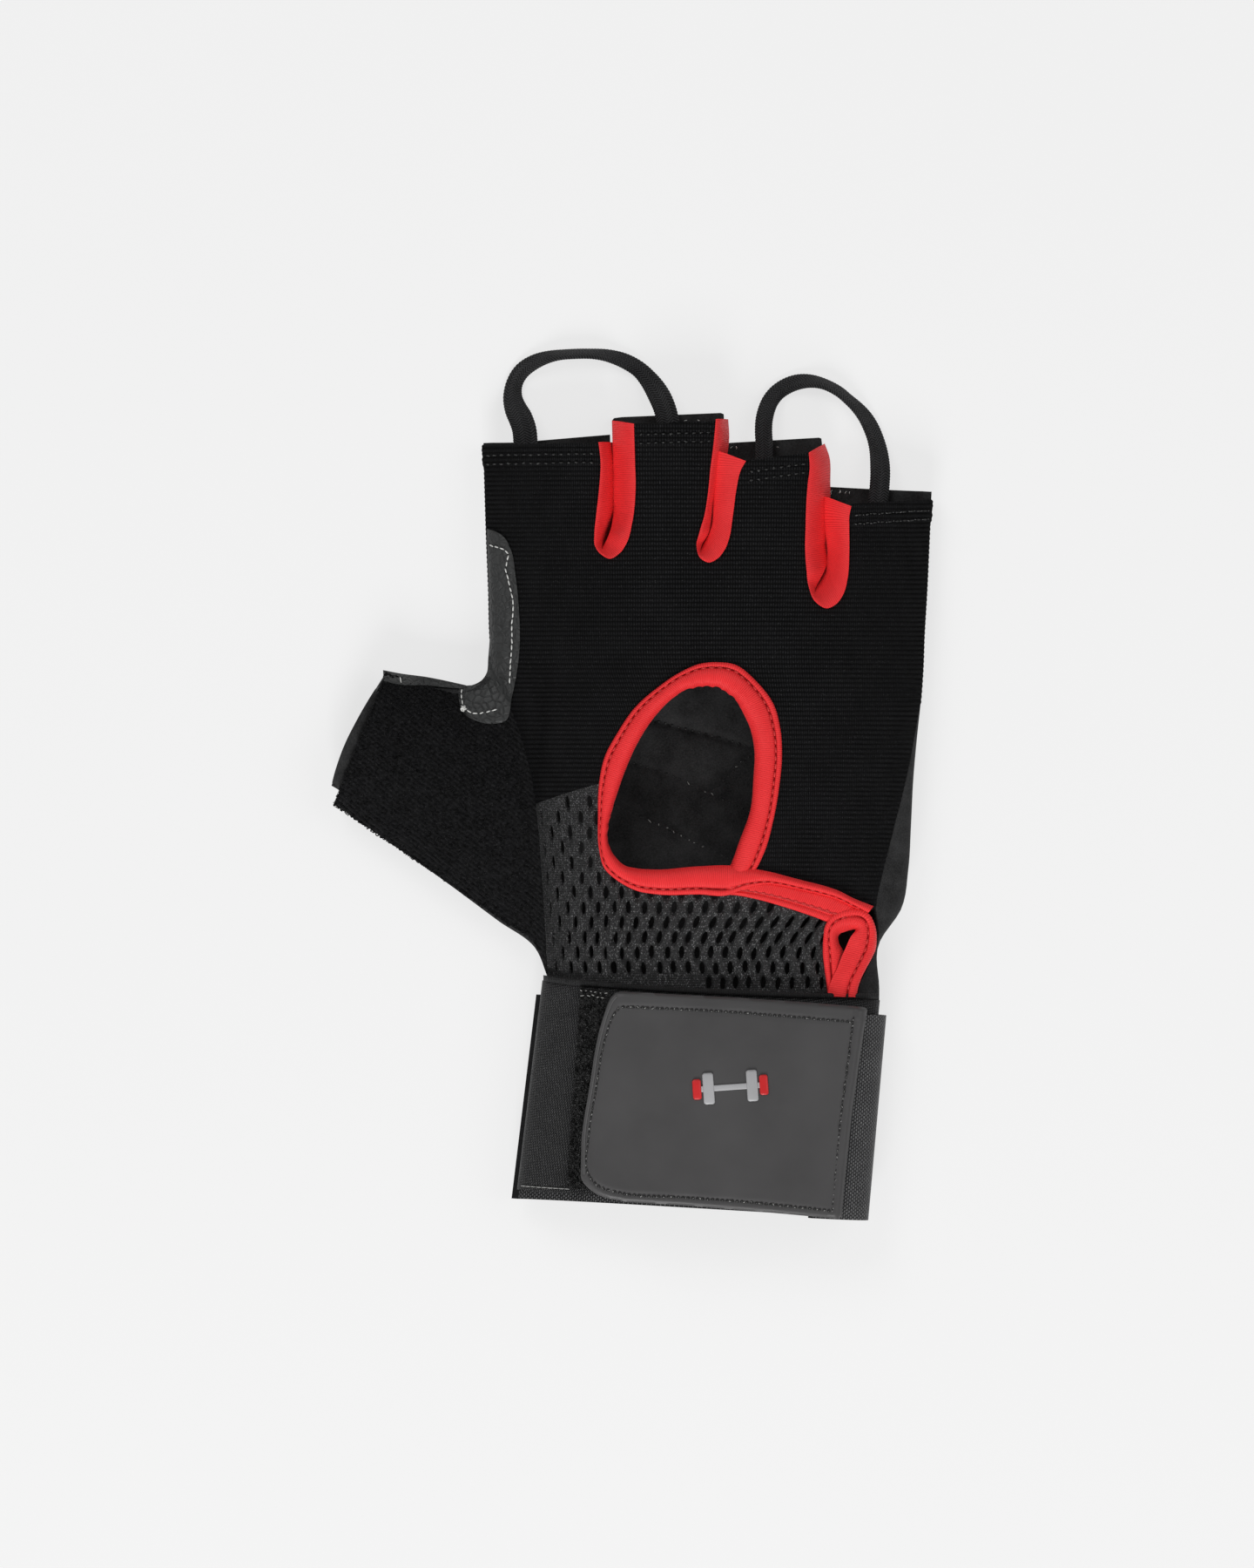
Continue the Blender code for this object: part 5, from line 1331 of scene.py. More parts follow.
def palm():
    """The padded palm with its quilting stitches."""
    steps = (1.8 * MM, 1.8 * MM)
    made = panel(
        "padded_palm", [palm_ring()], sole_point, -1, steps, PALM_WALL, "palm_panel", "suede", suede_relief,
        PALM_LINING, quilting,
    )
    lines = [over(line, on_padding, 0.0) for line in QUILT_LINES]
    beads("quilt_stitches", lines, 0.75, 1.6, 0.16, "black_thread", wobble=0.04)
    # Painted glints: grey beads on the black quilting stitches.
    lines = [over(line, on_padding, 0.05 * MM) for line in QUILT_GLINTS]
    beads("quilt_glints", lines, 0.4, 1.9, 0.11, "grey_thread_and_glints", wobble=0.25, seed=3)


# Thumb and patch


def edge_points(first, middle, last, shares):
    """Points at shares along a smooth edge through first, middle points and last."""
    points = np.vstack([first, in_hand(middle), last])
    knots = lengths_along(points)
    knots = knots / knots[-1]
    return np.stack([smooth_curve(shares, knots, points[:, axis]) for axis in (0, 1)], axis=1)


def hand_edge(count, place):
    """The hand's left side from the cuff to the crotch, where the thumb joins it."""
    along = np.linspace(0, CROTCH, count)
    x = section(along, "left") * HAND_WIDTH
    y = HAND_LENGTH * along - CUFF_SLOPE * x * (1 - along) ** 2
    return place(np.stack([np.full(count, -SIDE), y], axis=1))


def thumb_points(root, shares, crown, profile):
    """The thumb's skin, as rows from its root out to its opening, where crown is its height."""
    count = len(root)
    over_thumb = (1 - np.cos(np.linspace(0, math.pi, count))) / 2
    lower_tip, upper_tip = in_hand(THUMB_TIP_LOWER), in_hand(THUMB_TIP_UPPER)
    tip = lower_tip + over_thumb[:, None] * (upper_tip - lower_tip)
    lower = edge_points(root[0, :2], THUMB_LOWER_EDGE, lower_tip, shares)
    upper = edge_points(root[-1, :2], THUMB_UPPER_EDGE, upper_tip, shares)
    rise = profile(2 * over_thumb - 1)
    along_edge = np.linspace(0, 1, count)
    rows = []
    for share, low, high in zip(shares, lower, upper):
        v = along_edge[:, None]
        ruled = (1 - share) * root[:, :2] + share * tip + (1 - v) * low + v * high
        corners = (1 - share) * ((1 - v) * root[0, :2] + v * root[-1, :2])
        corners = corners + share * ((1 - v) * lower_tip + v * upper_tip)
        seam_at_root = root[0, 2] + (root[-1, 2] - root[0, 2]) * along_edge
        seam = (1 - share) * seam_at_root + share * THUMB_SEAM_HEIGHT
        blend = share**1.3
        height = seam + (1 - blend) * (root[:, 2] - seam_at_root) + blend * (crown - THUMB_SEAM_HEIGHT) * rise
        rows.append(np.column_stack([ruled - corners, height]))
    return np.array(rows)


def sheet_normals(points):
    """Normals of a grid of points."""
    along_rows = np.gradient(points, axis=0)
    along_columns = np.gradient(points, axis=1)
    normal = np.cross(along_rows, along_columns)
    return normal / np.maximum(np.linalg.norm(normal, axis=2, keepdims=True), 1e-12)


def walled(name, outer, wall, relief, node_name, cloth, flip=False):
    """A wall from a grid of outer points: its inner face a wall below, and its rims."""
    normal = sheet_normals(outer)
    if flip:
        normal = -normal
    inner = outer - wall * normal
    outer = outer + relief[:, :, None] * normal
    rows, columns = outer.shape[:2]
    index = np.arange(rows * columns).reshape(rows, columns)
    corners = [index[:-1, :-1], index[1:, :-1], index[1:, 1:], index[:-1, 1:]]
    faces = np.stack([corner.ravel() for corner in corners], axis=1)
    inner_faces = faces[:, ::-1] + rows * columns
    rim = np.concatenate([index[0, :], index[1:, -1], index[-1, -2::-1], index[-2:0:-1, 0]])
    following = np.roll(rim, -1)
    rims = np.stack([rim, following, following + rows * columns, rim + rows * columns], axis=1)
    faces = np.vstack([faces, inner_faces, rims])
    if flip:
        faces = faces[:, ::-1]
    verts = np.vstack([outer.reshape(-1, 3), inner.reshape(-1, 3)])
    uvs = grid_places(lengths_along(outer[:, columns // 2]), lengths_along(outer[rows // 2])).reshape(-1, 2)
    return new_object(name, verts, faces, np.vstack([uvs, uvs]), cloth, (node_name,))


def towel_bumps(points, seed):
    """Rounded lumps in slanted rows, like rows of loops, from the upper left to the lower right."""
    random = np.random.default_rng(seed)
    x, y = points[:, :, 0] / MM, points[:, :, 1] / MM
    bend = 0.25 * np.sin(x / 3.1 + 1.3 * np.sin(y / 4.7))
    rows = (0.62 * x + 0.78 * y) / TOWEL_ROW + bend
    row = np.floor(rows)
    across = humps((0.78 * x - 0.62 * y) / 1.25 + 0.37 * row)
    jitter = random.normal(0, 0.04, x.shape)
    return MM * (0.50 * humps(rows, 0.7) * (0.35 + 0.65 * across) + jitter)


def curls(name, places, normals, size, thickness, cloth, seed):
    """Small loops of yarn that stand on a surface. Their sizes are in millimetres."""
    size, thickness = size * MM, thickness * MM
    random = np.random.default_rng(seed)
    verts, faces = [], []
    arc = np.linspace(-0.15 * math.pi, 1.15 * math.pi, 7)
    ring = np.linspace(0, 2 * math.pi, 3, endpoint=False)
    for place, normal in zip(places, normals):
        radius = size * random.uniform(0.6, 1.3)
        heading = random.uniform(0, 2 * math.pi)
        lean = normal + random.normal(0, 0.55, 3)
        lean /= np.linalg.norm(lean)
        side = np.cross(lean, (math.cos(heading), math.sin(heading), 0.3))
        side /= np.linalg.norm(side)
        out = np.cross(side, lean)
        first = len(verts)
        for angle in arc:
            direction = math.cos(angle) * side + math.sin(angle) * lean
            centre = place + radius * direction
            for turn in ring:
                verts.append(centre + thickness * (math.cos(turn) * direction + math.sin(turn) * out))
        for step in range(len(arc) - 1):
            for corner in range(3):
                a, b = first + step * 3 + corner, first + step * 3 + (corner + 1) % 3
                faces.append((a, b, b + 3, a + 3))
        faces.append((first, first + 2, first + 1))
        last = first + (len(arc) - 1) * 3
        faces.append((last, last + 1, last + 2))
    verts = np.array(verts)
    return new_object(name, verts, faces, verts[:, :2].copy(), cloth)


def thumb():
    """The towelling thumb, its suede underside and the strips round its opening."""
    points = thumb_points(hand_edge(200, back_point), np.linspace(0, 0.985, 150), THUMB_HEIGHT, bulge)
    inset = points[:, 4:191]
    walled("thumb_towelling", inset, 1.6 * MM, towel_bumps(inset, 3), "thumb_back", "terry", flip=True)
    random = np.random.default_rng(8)
    normal = -sheet_normals(inset)
    last_row, last_column = inset.shape[0] - 1, inset.shape[1] - 1
    rows = random.integers(16, last_row, TOWEL_LOOPS)
    columns = random.integers(1, last_column, TOWEL_LOOPS)
    edge_rows = np.concatenate([np.full(150, last_row), random.integers(14, 149, 260)])
    edge_columns = np.concatenate([random.integers(0, last_column + 1, 150), random.integers(0, 3, 260)])
    rows, columns = np.concatenate([rows, edge_rows]), np.concatenate([columns, edge_columns])
    places = inset[rows, columns] + normal[rows, columns] * 0.25 * MM
    curls("thumb_loops", places, normal[rows, columns], 0.32, 0.10, "terry", 9)
    points = thumb_points(hand_edge(60, sole_point), np.linspace(0, 0.985, 50), 0.0, flat_bulge)
    points[:, :, 2] = np.maximum(points[:, :, 2], 0.0)
    walled("thumb_suede", points, PALM_WALL, np.zeros(points.shape[:2]), "thumb_palm", "suede")
    base = skin_height()
    tape_strip("thumb_edge_strip", THUMB_EDGE_STRIP, EDGE_PROFILE, base, 0.2 * MM, SMOOTH, cloth="leather")
    tape_strip("thumb_rim", THUMB_RIM, EDGE_PROFILE, base, -1.2 * MM, SMOOTH, cloth="suede")
    stitch = [over(THUMB_EDGE_STITCH, base, 1.0 * MM)]
    beads("thumb_edge_stitch", stitch, 2.2, 3, 0.14, "white_thread")


def skin_height():
    """A function that gives the back skin's points over plan points, hand and thumb together."""
    u = np.linspace(-SIDE, SIDE, 90)
    y = np.linspace(0.0, 0.134, 180)
    flat_u, flat_y = np.meshgrid(u, y)
    hand = back_point(np.stack([flat_u.ravel(), flat_y.ravel()], axis=1))
    thumb_rows = thumb_points(hand_edge(120, back_point), np.linspace(0, 1, 60), THUMB_HEIGHT, bulge)
    verts, faces = [], []
    for grid in (hand.reshape(180, 90, 3), thumb_rows):
        first = len(verts)
        rows, columns = grid.shape[:2]
        verts += [Vector(point) for point in grid.reshape(-1, 3)]
        for row in range(rows - 1):
            for col in range(columns - 1):
                a = first + row * columns + col
                faces.append((a, a + 1, a + columns + 1, a + columns))
    tree = BVHTree.FromPolygons(verts, faces)

    def base(plan):
        made = []
        for x, y in plan:
            hit = tree.ray_cast(Vector((x, y, 0.05)), Vector((0, 0, -1)))[0]
            if hit is None:
                hit = tree.find_nearest(Vector((x, y, 0.006)))[0]
            made.append((x, y, hit.z))
        return np.array(made)

    return base


def patch():
    """The grained leather over the fold between thumb and index finger, sewn in white."""
    base = skin_height()
    ring = ring_of(resampled(photo(PATCH_EDGE), 0.6 * MM), resampled(photo(PATCH_SIDE), 0.5 * MM))
    if ring_area(ring) < 0:
        ring = ring[::-1]

    def top(flat):
        points = base(flat)
        seams = [resampled(photo(line), 0.6 * MM) for line in PATCH_STITCHES]
        groove = 0.28 * MM * dip(distance_to(seams, flat, closed=False), 0.45 * MM)
        crease = 0.35 * MM * dip(distance_to([photo(PATCH_FOLD)], flat, closed=False), 0.9 * MM)
        raised = 0.55 * MM + 0.30 * MM * smoothstep(0, 0.8 * MM, distance_to([ring], flat))
        points[:, 2] += raised - groove - crease
        return points

    def foot(flat):
        return base(flat) - (0, 0, 0.4 * MM)

    steps = (0.7 * MM, 0.7 * MM)
    pad("thumb_fold_patch", ring, steps, top, foot, "leather", "crotch_patch")
    lines = [over(line, base, 0.85 * MM) for line in PATCH_STITCHES]
    beads("patch_stitches", lines, 1.15, 1.5, 0.15, "white_thread", wobble=0.06)
    knot = np.repeat(base(photo(PATCH_KNOT)) + (0, 0, 1.0 * MM), 4, axis=0)
    upward = np.tile((0, 0, 1), (len(knot), 1))
    curls("patch_knot", knot, upward, 0.5, 0.13, "white_thread", 5)


# Red tapes


def tape_sides(pairs, measured):
    """A tape's outer and inner edge in even steps, and how far along it each step is, measured at a
    share of the way across it."""
    table = np.array(pairs, float)
    sides = np.hstack([photo(table[:, :2]), photo(table[:, 2:])])
    length = lengths_along(sides[:, :2] * (1 - measured) + sides[:, 2:] * measured)[-1]
    sides = counted(sides, int(length / FINE_STEP))
    outer, inner = sides[:, :2], sides[:, 2:]
    return outer, inner, lengths_along(outer * (1 - measured) + inner * measured)


def tape_strip(
    name, pairs, profile, base, lift, ribs, stands_for=(), pucker=None, dive=None, seam=0.215, cloth="tape"
):
    """A ribbed tape between pairs of outer and inner points in photograph pixels. lift raises it and
    dive scales how far its profile goes down, both by the share along it. ribs are their pitch and
    height in millimetres and their lean. seam is the share across it of its stitched line, which lies
    at 0 in its unrolled place."""
    outer, inner, along = tape_sides(pairs, 0.5)
    share_along = along / along[-1]
    if pucker is not None:
        inner = inner + (outer - inner) * pucker(share_along, along)[:, None]
    lift = np.broadcast_to(np.asarray(lift(share_along) if callable(lift) else lift, float), (len(along),))
    falls = np.ones(len(along)) if dive is None else dive(share_along)
    pitch, rib_height, lean = ribs
    width = np.linalg.norm(outer - inner, axis=1)
    rows = []
    for share, height, ribbed in profile:
        phase = (along + lean * share * width) / (pitch * MM)
        rib = humps(phase, 0.8) * ribbed
        plan = outer + (inner - outer) * share
        if share <= 0.0:
            plan = plan + (outer - inner) / width[:, None] * (1.6 * rib_height * MM * rib)[:, None]
        points = base(plan)
        points[:, 2] += (height if height > 0 else height * falls) * MM + lift + rib_height * MM * rib
        rows.append(points)
    for share in (0.80, 0.20):
        points = base(outer + (inner - outer) * share)
        points[:, 2] += lift - 0.5 * MM
        rows.append(points)
    points = np.array(rows).transpose(1, 0, 2)
    shares = np.array([row[0] for row in profile] + [0.80, 0.20])
    from_seam = np.broadcast_to((shares - seam)[None, :] * TAPE_WIDTH, (len(along), len(shares)))
    uvs = np.stack([along[:, None] + lean * shares[None, :] * width[:, None], from_seam], axis=2)
    turned = np.cross(outer[5] - outer[0], inner[0] - outer[0]) > 0
    grid_object(name, points, uvs, cloth, stands_for, flip=not turned)


ROLLED = (
    (0.0, -0.30, 0.0), (0.0, 0.25, 1.0), (0.03, 0.55, 1.0), (0.10, 0.74, 0.8), (0.17, 0.66, 0.4),
    (0.215, 0.14, 0.0), (0.26, 0.66, 0.8), (0.36, 0.98, 1.0), (0.52, 1.10, 1.0), (0.68, 1.00, 1.0),
    (0.82, 0.70, 1.0), (0.93, 0.20, 1.0), (1.0, -0.60, 1.0), (1.01, -1.50, 0.6),
)
FLAT_TOP = (
    (0.0, -0.2, 0.0), (0.0, 0.4, 1.0), (0.05, 0.75, 1.0), (0.25, 0.95, 1.0), (0.45, 0.98, 1.0),
    (0.62, 0.85, 1.0), (0.72, 0.45, 0.0), (0.80, 0.80, 0.7), (0.92, 0.75, 0.7), (1.0, 0.35, 0.7),
    (1.0, -0.3, 0.0),
)
TAPE_WIDTH = 5.8 * MM
# The ribs of a smooth strip
SMOOTH = (9.0, 0.0, 0.0)
# Rows of the slit's tape between which its stitches run, and how high they lie in millimetres
SLIT_STITCHES = ((2, 12, 0.66), (11, 15, 1.30), (14, 20, 1.85))
EDGE_PROFILE = (
    (0.0, -0.4, 0.0), (0.0, 0.2, 0.0), (0.12, 0.55, 0.0), (0.5, 0.75, 0.0), (0.85, 0.6, 0.0),
    (1.0, -0.2, 0.0),
)
HEM_PROFILE = (
    (0.0, -0.5, 0.0), (0.0, 0.15, 1.0), (0.2, 0.4, 1.0), (0.5, 0.5, 1.0), (0.8, 0.35, 1.0),
    (1.0, 0.0, 1.0), (1.0, -0.5, 0.0),
)
RIM_PROFILE = (
    (0.0, -0.9, 0.0), (0.0, -0.25, 0.0), (0.18, 0.12, 0.0), (0.42, -0.12, 0.0), (0.58, 0.10, 0.0),
    (0.85, 0.14, 0.0), (1.0, -0.15, 0.0),
)
SLIT_PROFILE = (
    (0.0, -0.3, 0.0), (0.0, 0.3, 1.0), (0.05, 0.70, 1.0), (0.16, 0.90, 0.5), (0.26, 0.80, 0.3),
    (0.33, 0.18, 0.0), (0.40, 0.75, 0.8), (0.55, 0.85, 1.0), (0.72, 0.55, 1.0), (0.88, -0.2, 1.0),
    (1.0, -1.2, 1.0), (1.0, -2.2, 1.0),
)


def tape_stitches(name, pairs, share, lift, base):
    """A sewn row in red thread at a share across a tape, at a lift in millimetres above its base."""
    table = np.array(pairs, float)
    line = over(table[:, :2] + (table[:, 2:] - table[:, :2]) * share, base, lift * MM)
    beads(name, [line], 1.3, 1.9, 0.19, "red_thread", wobble=0.05, seed=6)


def keyhole_pucker(share, along):
    """Small pleats in the inner edge at the keyhole's top and at its lower left corner."""
    top = dip(share - 0.325, 0.05)
    corner = dip(share - 0.60, 0.03)
    pleats = np.abs(np.sin(along / (0.9 * MM))) * 0.5 + np.abs(np.sin(along / (1.7 * MM) + 1.0)) * 0.5
    return (0.09 * top + 0.12 * corner) * pleats


def hem_lift(share):
    return 0.1 * MM + 0.4 * MM * smoothstep(0.74, 0.80, share)


def hem_dive(share):
    return 1 - 0.6 * smoothstep(0.72, 0.80, share)


def strand_lift(share):
    return 0.25 * MM + 1.25 * MM * smoothstep(0.42, 0.72, share)


def strand_dive(share):
    return 1 - 0.9 * smoothstep(0.48, 0.66, share)


def red_tapes():
    """The tapes round the keyhole, along the knit's hem and the net, and round the slit."""
    ribs, bindings = (0.45, 0.05, 0.10), ("keyhole_binding", "hem_binding")
    tape_strip("keyhole_tape", KEYHOLE, ROLLED, on_back, hem_lift, ribs, bindings, keyhole_pucker, hem_dive)
    tape_stitches("keyhole_stitches", KEYHOLE[:26], 0.215, 0.55, on_back)
    tape_stitches("hem_stitches", KEYHOLE[25:], 0.215, 0.95, on_back)
    ribs = (0.45, 0.05, 0.25)
    tape_strip("net_tape", NET_TAPE, FLAT_TOP, on_back, -0.1 * MM, ribs, ("mesh_binding",), seam=0.62)
    tape_stitches("net_tape_stitches", NET_TAPE[1:], 0.60, 0.75, on_back)
    tape_strip(
        "slit_tape", SLIT, SLIT_PROFILE, on_back, strand_lift, (0.45, 0.05, 0.15), ("slit_binding",),
        dive=strand_dive, seam=0.33,
    )
    for number, (first, last, lift) in enumerate(SLIT_STITCHES):
        tape_stitches(f"slit_stitches_{number + 1}", SLIT[first:last], 0.33, lift, on_back)


GUSSET_PROFILE = (0.0, 0.04, 0.10, 0.2, 0.32, 0.45, 0.58, 0.7, 0.82, 0.92, 1.0)


def gusset(index):
    """The red tape between two fingers, folded round the slot and down to the palm layer. Its right
    leg lies over the left one."""
    outer, inner, along = tape_sides(SLOT_TAPES[index], 0.0)
    share_along = along / along[-1]
    top = on_back(outer)[:, 2] + 0.75 * MM
    sole = sole_point(unrolled(inner))[:, 2] + PALM_WALL
    bottom = sole + 1.6 * MM
    falls = np.array(LEG_FALLS[index])[[0, 1, 1, 2]]
    reach = smooth_curve(share_along, np.array((0.34, 0.46, 0.54, 0.66)), falls)
    turn_share = smoothstep(0.36, 0.46, share_along) * smoothstep(0.64, 0.54, share_along)
    width = np.linalg.norm(outer - inner, axis=1)
    rows, under = [], []
    for share in GUSSET_PROFILE:
        rib = humps((along + 0.12 * share * width) / (0.45 * MM), 0.8)
        plan = outer + (inner - outer) * share
        if share == 0.0:
            plan = plan + (outer - inner) / width[:, None] * (0.10 * MM * rib)[:, None]
        fall = share**1.7 * reach
        height = top + (bottom - top) * fall
        fold = np.sin(math.pi * share) * np.sin(share_along * 46 + 1.0) * 0.45 * MM * turn_share
        height = height + fold + 0.05 * MM * rib
        rows.append(np.column_stack([plan, height]))
        under.append(np.column_stack([plan, height - 0.6 * MM]))
    points = np.array(rows + under[::-1]).transpose(1, 0, 2)
    shares = np.array(list(GUSSET_PROFILE) + list(GUSSET_PROFILE[::-1]))
    over_width = shares[None, :] * width[:, None]
    uvs = np.stack([along[:, None] + 0.12 * over_width, over_width + TAPE_WIDTH], axis=2)
    number = index + 1
    grid_object(f"finger_tape_{number}", points, uvs, "tape", (f"finger_gusset_{number}",))


# Wrist


def cuff_point(angle, down, offset):
    """A point on the cuff's outer face, moved out by offset, as in the part's source."""
    sole = ELASTIC_WALL + GAP
    half = CUFF_WIDTH / 2 * (1 + 0.02 * down) + offset
    cos, sin = np.cos(angle), np.sin(angle)
    across = half * np.sign(cos) * np.abs(cos) ** CUFF_SQUARENESS - RIGHT_TUCK * smoothstep(0.55, 1.0, cos)
    rise = np.where(sin > 0, WRIST_CROWN - WRIST_SEAM + offset, WRIST_SEAM - sole + offset)
    height = WRIST_SEAM + rise * np.sign(sin) * np.abs(sin) ** CUFF_SQUARENESS
    along = -GAP - down * CUFF_LENGTH
    x = WRIST_MIDDLE + CUFF_LEAN * along + across
    y = along - CUFF_SLOPE * (WRIST_MIDDLE + across)
    return np.stack([x, y, height + 0 * x], axis=-1)


def on_cuff(offset):
    """A function that gives points over plan points on the wrapped wrist, at an offset out."""

    def base(plan):
        plan = np.asarray(plan, float)
        along = (plan[:, 1] + CUFF_SLOPE * plan[:, 0]) / (1 + CUFF_SLOPE * CUFF_LEAN)
        across = plan[:, 0] - WRIST_MIDDLE - CUFF_LEAN * along
        half = CUFF_WIDTH / 2 * (1 + 0.02 * (-along / CUFF_LENGTH)) + offset
        cos = np.clip(np.abs(across) / half, 0, 1) ** (1 / CUFF_SQUARENESS)
        rise = WRIST_CROWN - WRIST_SEAM + offset
        height = WRIST_SEAM + rise * np.sqrt(1 - cos**2) ** CUFF_SQUARENESS
        return np.column_stack([plan, height])

    return base





def cuff():
    """The elastic tube round the wrist, with a ribbed band sewn along its top edge."""
    angles = np.linspace(0, 2 * math.pi, 801)[:-1]
    downs, ups = np.linspace(0.0, 1.0, 33), np.linspace(1.0, 0.0, 9)
    outer = np.array([cuff_point(angles, down, 0.0) for down in downs])
    inner = np.array([cuff_point(angles, down, -ELASTIC_WALL) for down in ups])
    ribs = 0.06 * MM * (humps(lengths_along(outer[16]) / (0.80 * MM), 0.7) - 0.5)
    edge = smoothstep(0, 0.012, downs) * smoothstep(1.0, 0.985, downs)
    for row, share in enumerate(edge):
        outer[row, :, 2] += np.sign(np.sin(angles)) * (ribs - 0.35 * MM * (1 - share))
    outer[:, :, 2] = np.maximum(outer[:, :, 2], ELASTIC_WALL)
    points = np.concatenate([outer, inner])
    uvs = grid_places(np.concatenate([downs, ups]) * CUFF_LENGTH, lengths_along(outer[16]))
    grid_object("wrist_cuff", points, uvs, "elastic", ("cuff",), closed_rows=True, flip=True)
    ribs = (0.40, 0.06, 0.0)
    tape_strip("cuff_hem", CUFF_HEM, HEM_PROFILE, on_cuff(0.0), 0.25 * MM, ribs, cloth="elastic_edge")
    edge_line = over(CUFF_EDGE_LINE, on_cuff(0.0), 0.12 * MM)
    beads("cuff_edge_thread", [edge_line], 1.3, 1.35, 0.12, "grey_thread_and_glints")


def strap():
    """The wrap's elastic, under the wrist and up its right side to the tab."""
    angles = np.linspace(*STRAP_TURNS, 340)
    downs = np.linspace(*STRAP_ENDS, 25)
    offset = GAP + ELASTIC_WALL
    outer = np.array([cuff_point(angles, down, offset) for down in downs])
    inner = np.array([cuff_point(angles, down, offset - ELASTIC_WALL) for down in downs])
    edge = smoothstep(0, 0.02, (downs - downs[0])) * smoothstep(0, 0.02, downs[-1] - downs)
    outer[:, :, 2] -= np.sign(np.sin(angles))[None, :] * 0.3 * MM * (1 - edge)[:, None]
    outer[:, :, 2] = np.maximum(outer[:, :, 2], 0)
    points = np.concatenate([outer, inner[::-1]])
    uvs = grid_places(np.concatenate([downs, downs[::-1]]) * CUFF_LENGTH, lengths_along(outer[12]))
    points, uvs = points.transpose(1, 0, 2), uvs.transpose(1, 0, 2)
    grid_object("wrap_strap", points, uvs, "strap", ("wrist_strap",))


def pad_on_cuff(name, outline, offset, wall, step, relief, node_name, cloth):
    """A flat piece on the wrapped wrist, filled from an outline in the hand's frame."""
    ring = resampled(outline, 0.6 * MM, closed=True, smooth=False)
    if ring_area(ring) < 0:
        ring = ring[::-1]

    def top(flat):
        points = on_cuff(offset)(flat)
        points[:, 2] += relief(flat, ring)
        return points

    steps = (step * MM, step * MM)
    pad(name, ring, steps, top, on_cuff(offset - wall), cloth, node_name, stagger=False)


TAB_OFFSET = 2 * GAP + ELASTIC_WALL + TAB_WALL


def tab_relief(flat, ring):
    """The tab's rounded edge, its sewn groove and the raised border on its right."""
    rounding = -0.55 * MM * smoothstep(0.9 * MM, 0.0, distance_to([ring], flat))
    seams = [resampled(photo(line), 1 * MM, smooth=False) for line in TAB_STITCHES]
    groove = -0.28 * MM * dip(distance_to(seams, flat, closed=False), 0.45 * MM)
    border = distance_to([photo(TAB_BORDER)], flat, closed=False)
    raised = 0.45 * MM * smoothstep(1.25 * MM, 0.85 * MM, border)
    return rounding + groove + raised


def tab():
    """The moulded tab with its sewn border, its rounded rim and a plain emblem."""
    outline = photo(TAB_EDGE)
    pad_on_cuff(
        "strap_tab_face", outline, TAB_OFFSET, TAB_WALL, 0.58, tab_relief, "strap_tab", "rubber"
    )
    lines = [over(line, on_cuff(TAB_OFFSET), -0.12 * MM) for line in TAB_STITCHES]
    beads("tab_stitches", lines, 0.85, 1.12, 0.21, "black_thread", wobble=0.03)
    # Painted glints: grey beads on the black tab stitches.
    raised = [line + (0, 0, 0.16 * MM) for line in lines]
    beads("tab_stitch_glints", raised, 0.32, 1.68, 0.10, "grey_thread_and_glints", wobble=0.10, seed=2)
    # The rim is a lighter copy of the tab's rubber: painted highlight on its ridges.
    tape_strip("tab_rim", TAB_RIM, RIM_PROFILE, on_cuff(TAB_OFFSET), 0.05 * MM, SMOOTH, cloth="highlighted_rubber_rim")
    emblem()


def emblem():
    """A plain dumbbell in relief: a silver bar with four plates."""
    base = on_cuff(TAB_OFFSET)
    angles = np.linspace(0, 2 * math.pi, 25)[:-1]
    rounded = np.stack([np.cos(angles), np.sin(angles)], axis=1)
    turn = math.radians(EMBLEM_TURN)
    spin = np.array(((math.cos(turn), math.sin(turn)), (-math.sin(turn), math.cos(turn))))
    for number, (low, high, ink, height) in enumerate(EMBLEM_SHAPES):
        middle, half = (np.array(low) + high) / 2, (np.array(high) - low) / 2
        corner = min(EMBLEM_CORNER, half.min())
        outline = middle + np.sign(rounded) * (half - corner) + rounded * corner
        outline = photo(EMBLEM_PLACE + outline @ spin)
        middle = outline.mean(axis=0)
        rows = []
        for share, rise in EMBLEM_PROFILE:
            points = base(middle + (outline - middle) * share)
            points[:, 2] += rise * height * MM
            rows.append(points)
        points = np.array(rows)
        grid_object(f"emblem_{number + 1}", points, points[:, :, :2].copy(), ink, flip=True)


def hook_relief(flat, ring):
    return 0.25 * MM * np.sin(flat[:, 0] / (0.21 * MM)) * np.sin(flat[:, 1] / (0.24 * MM))


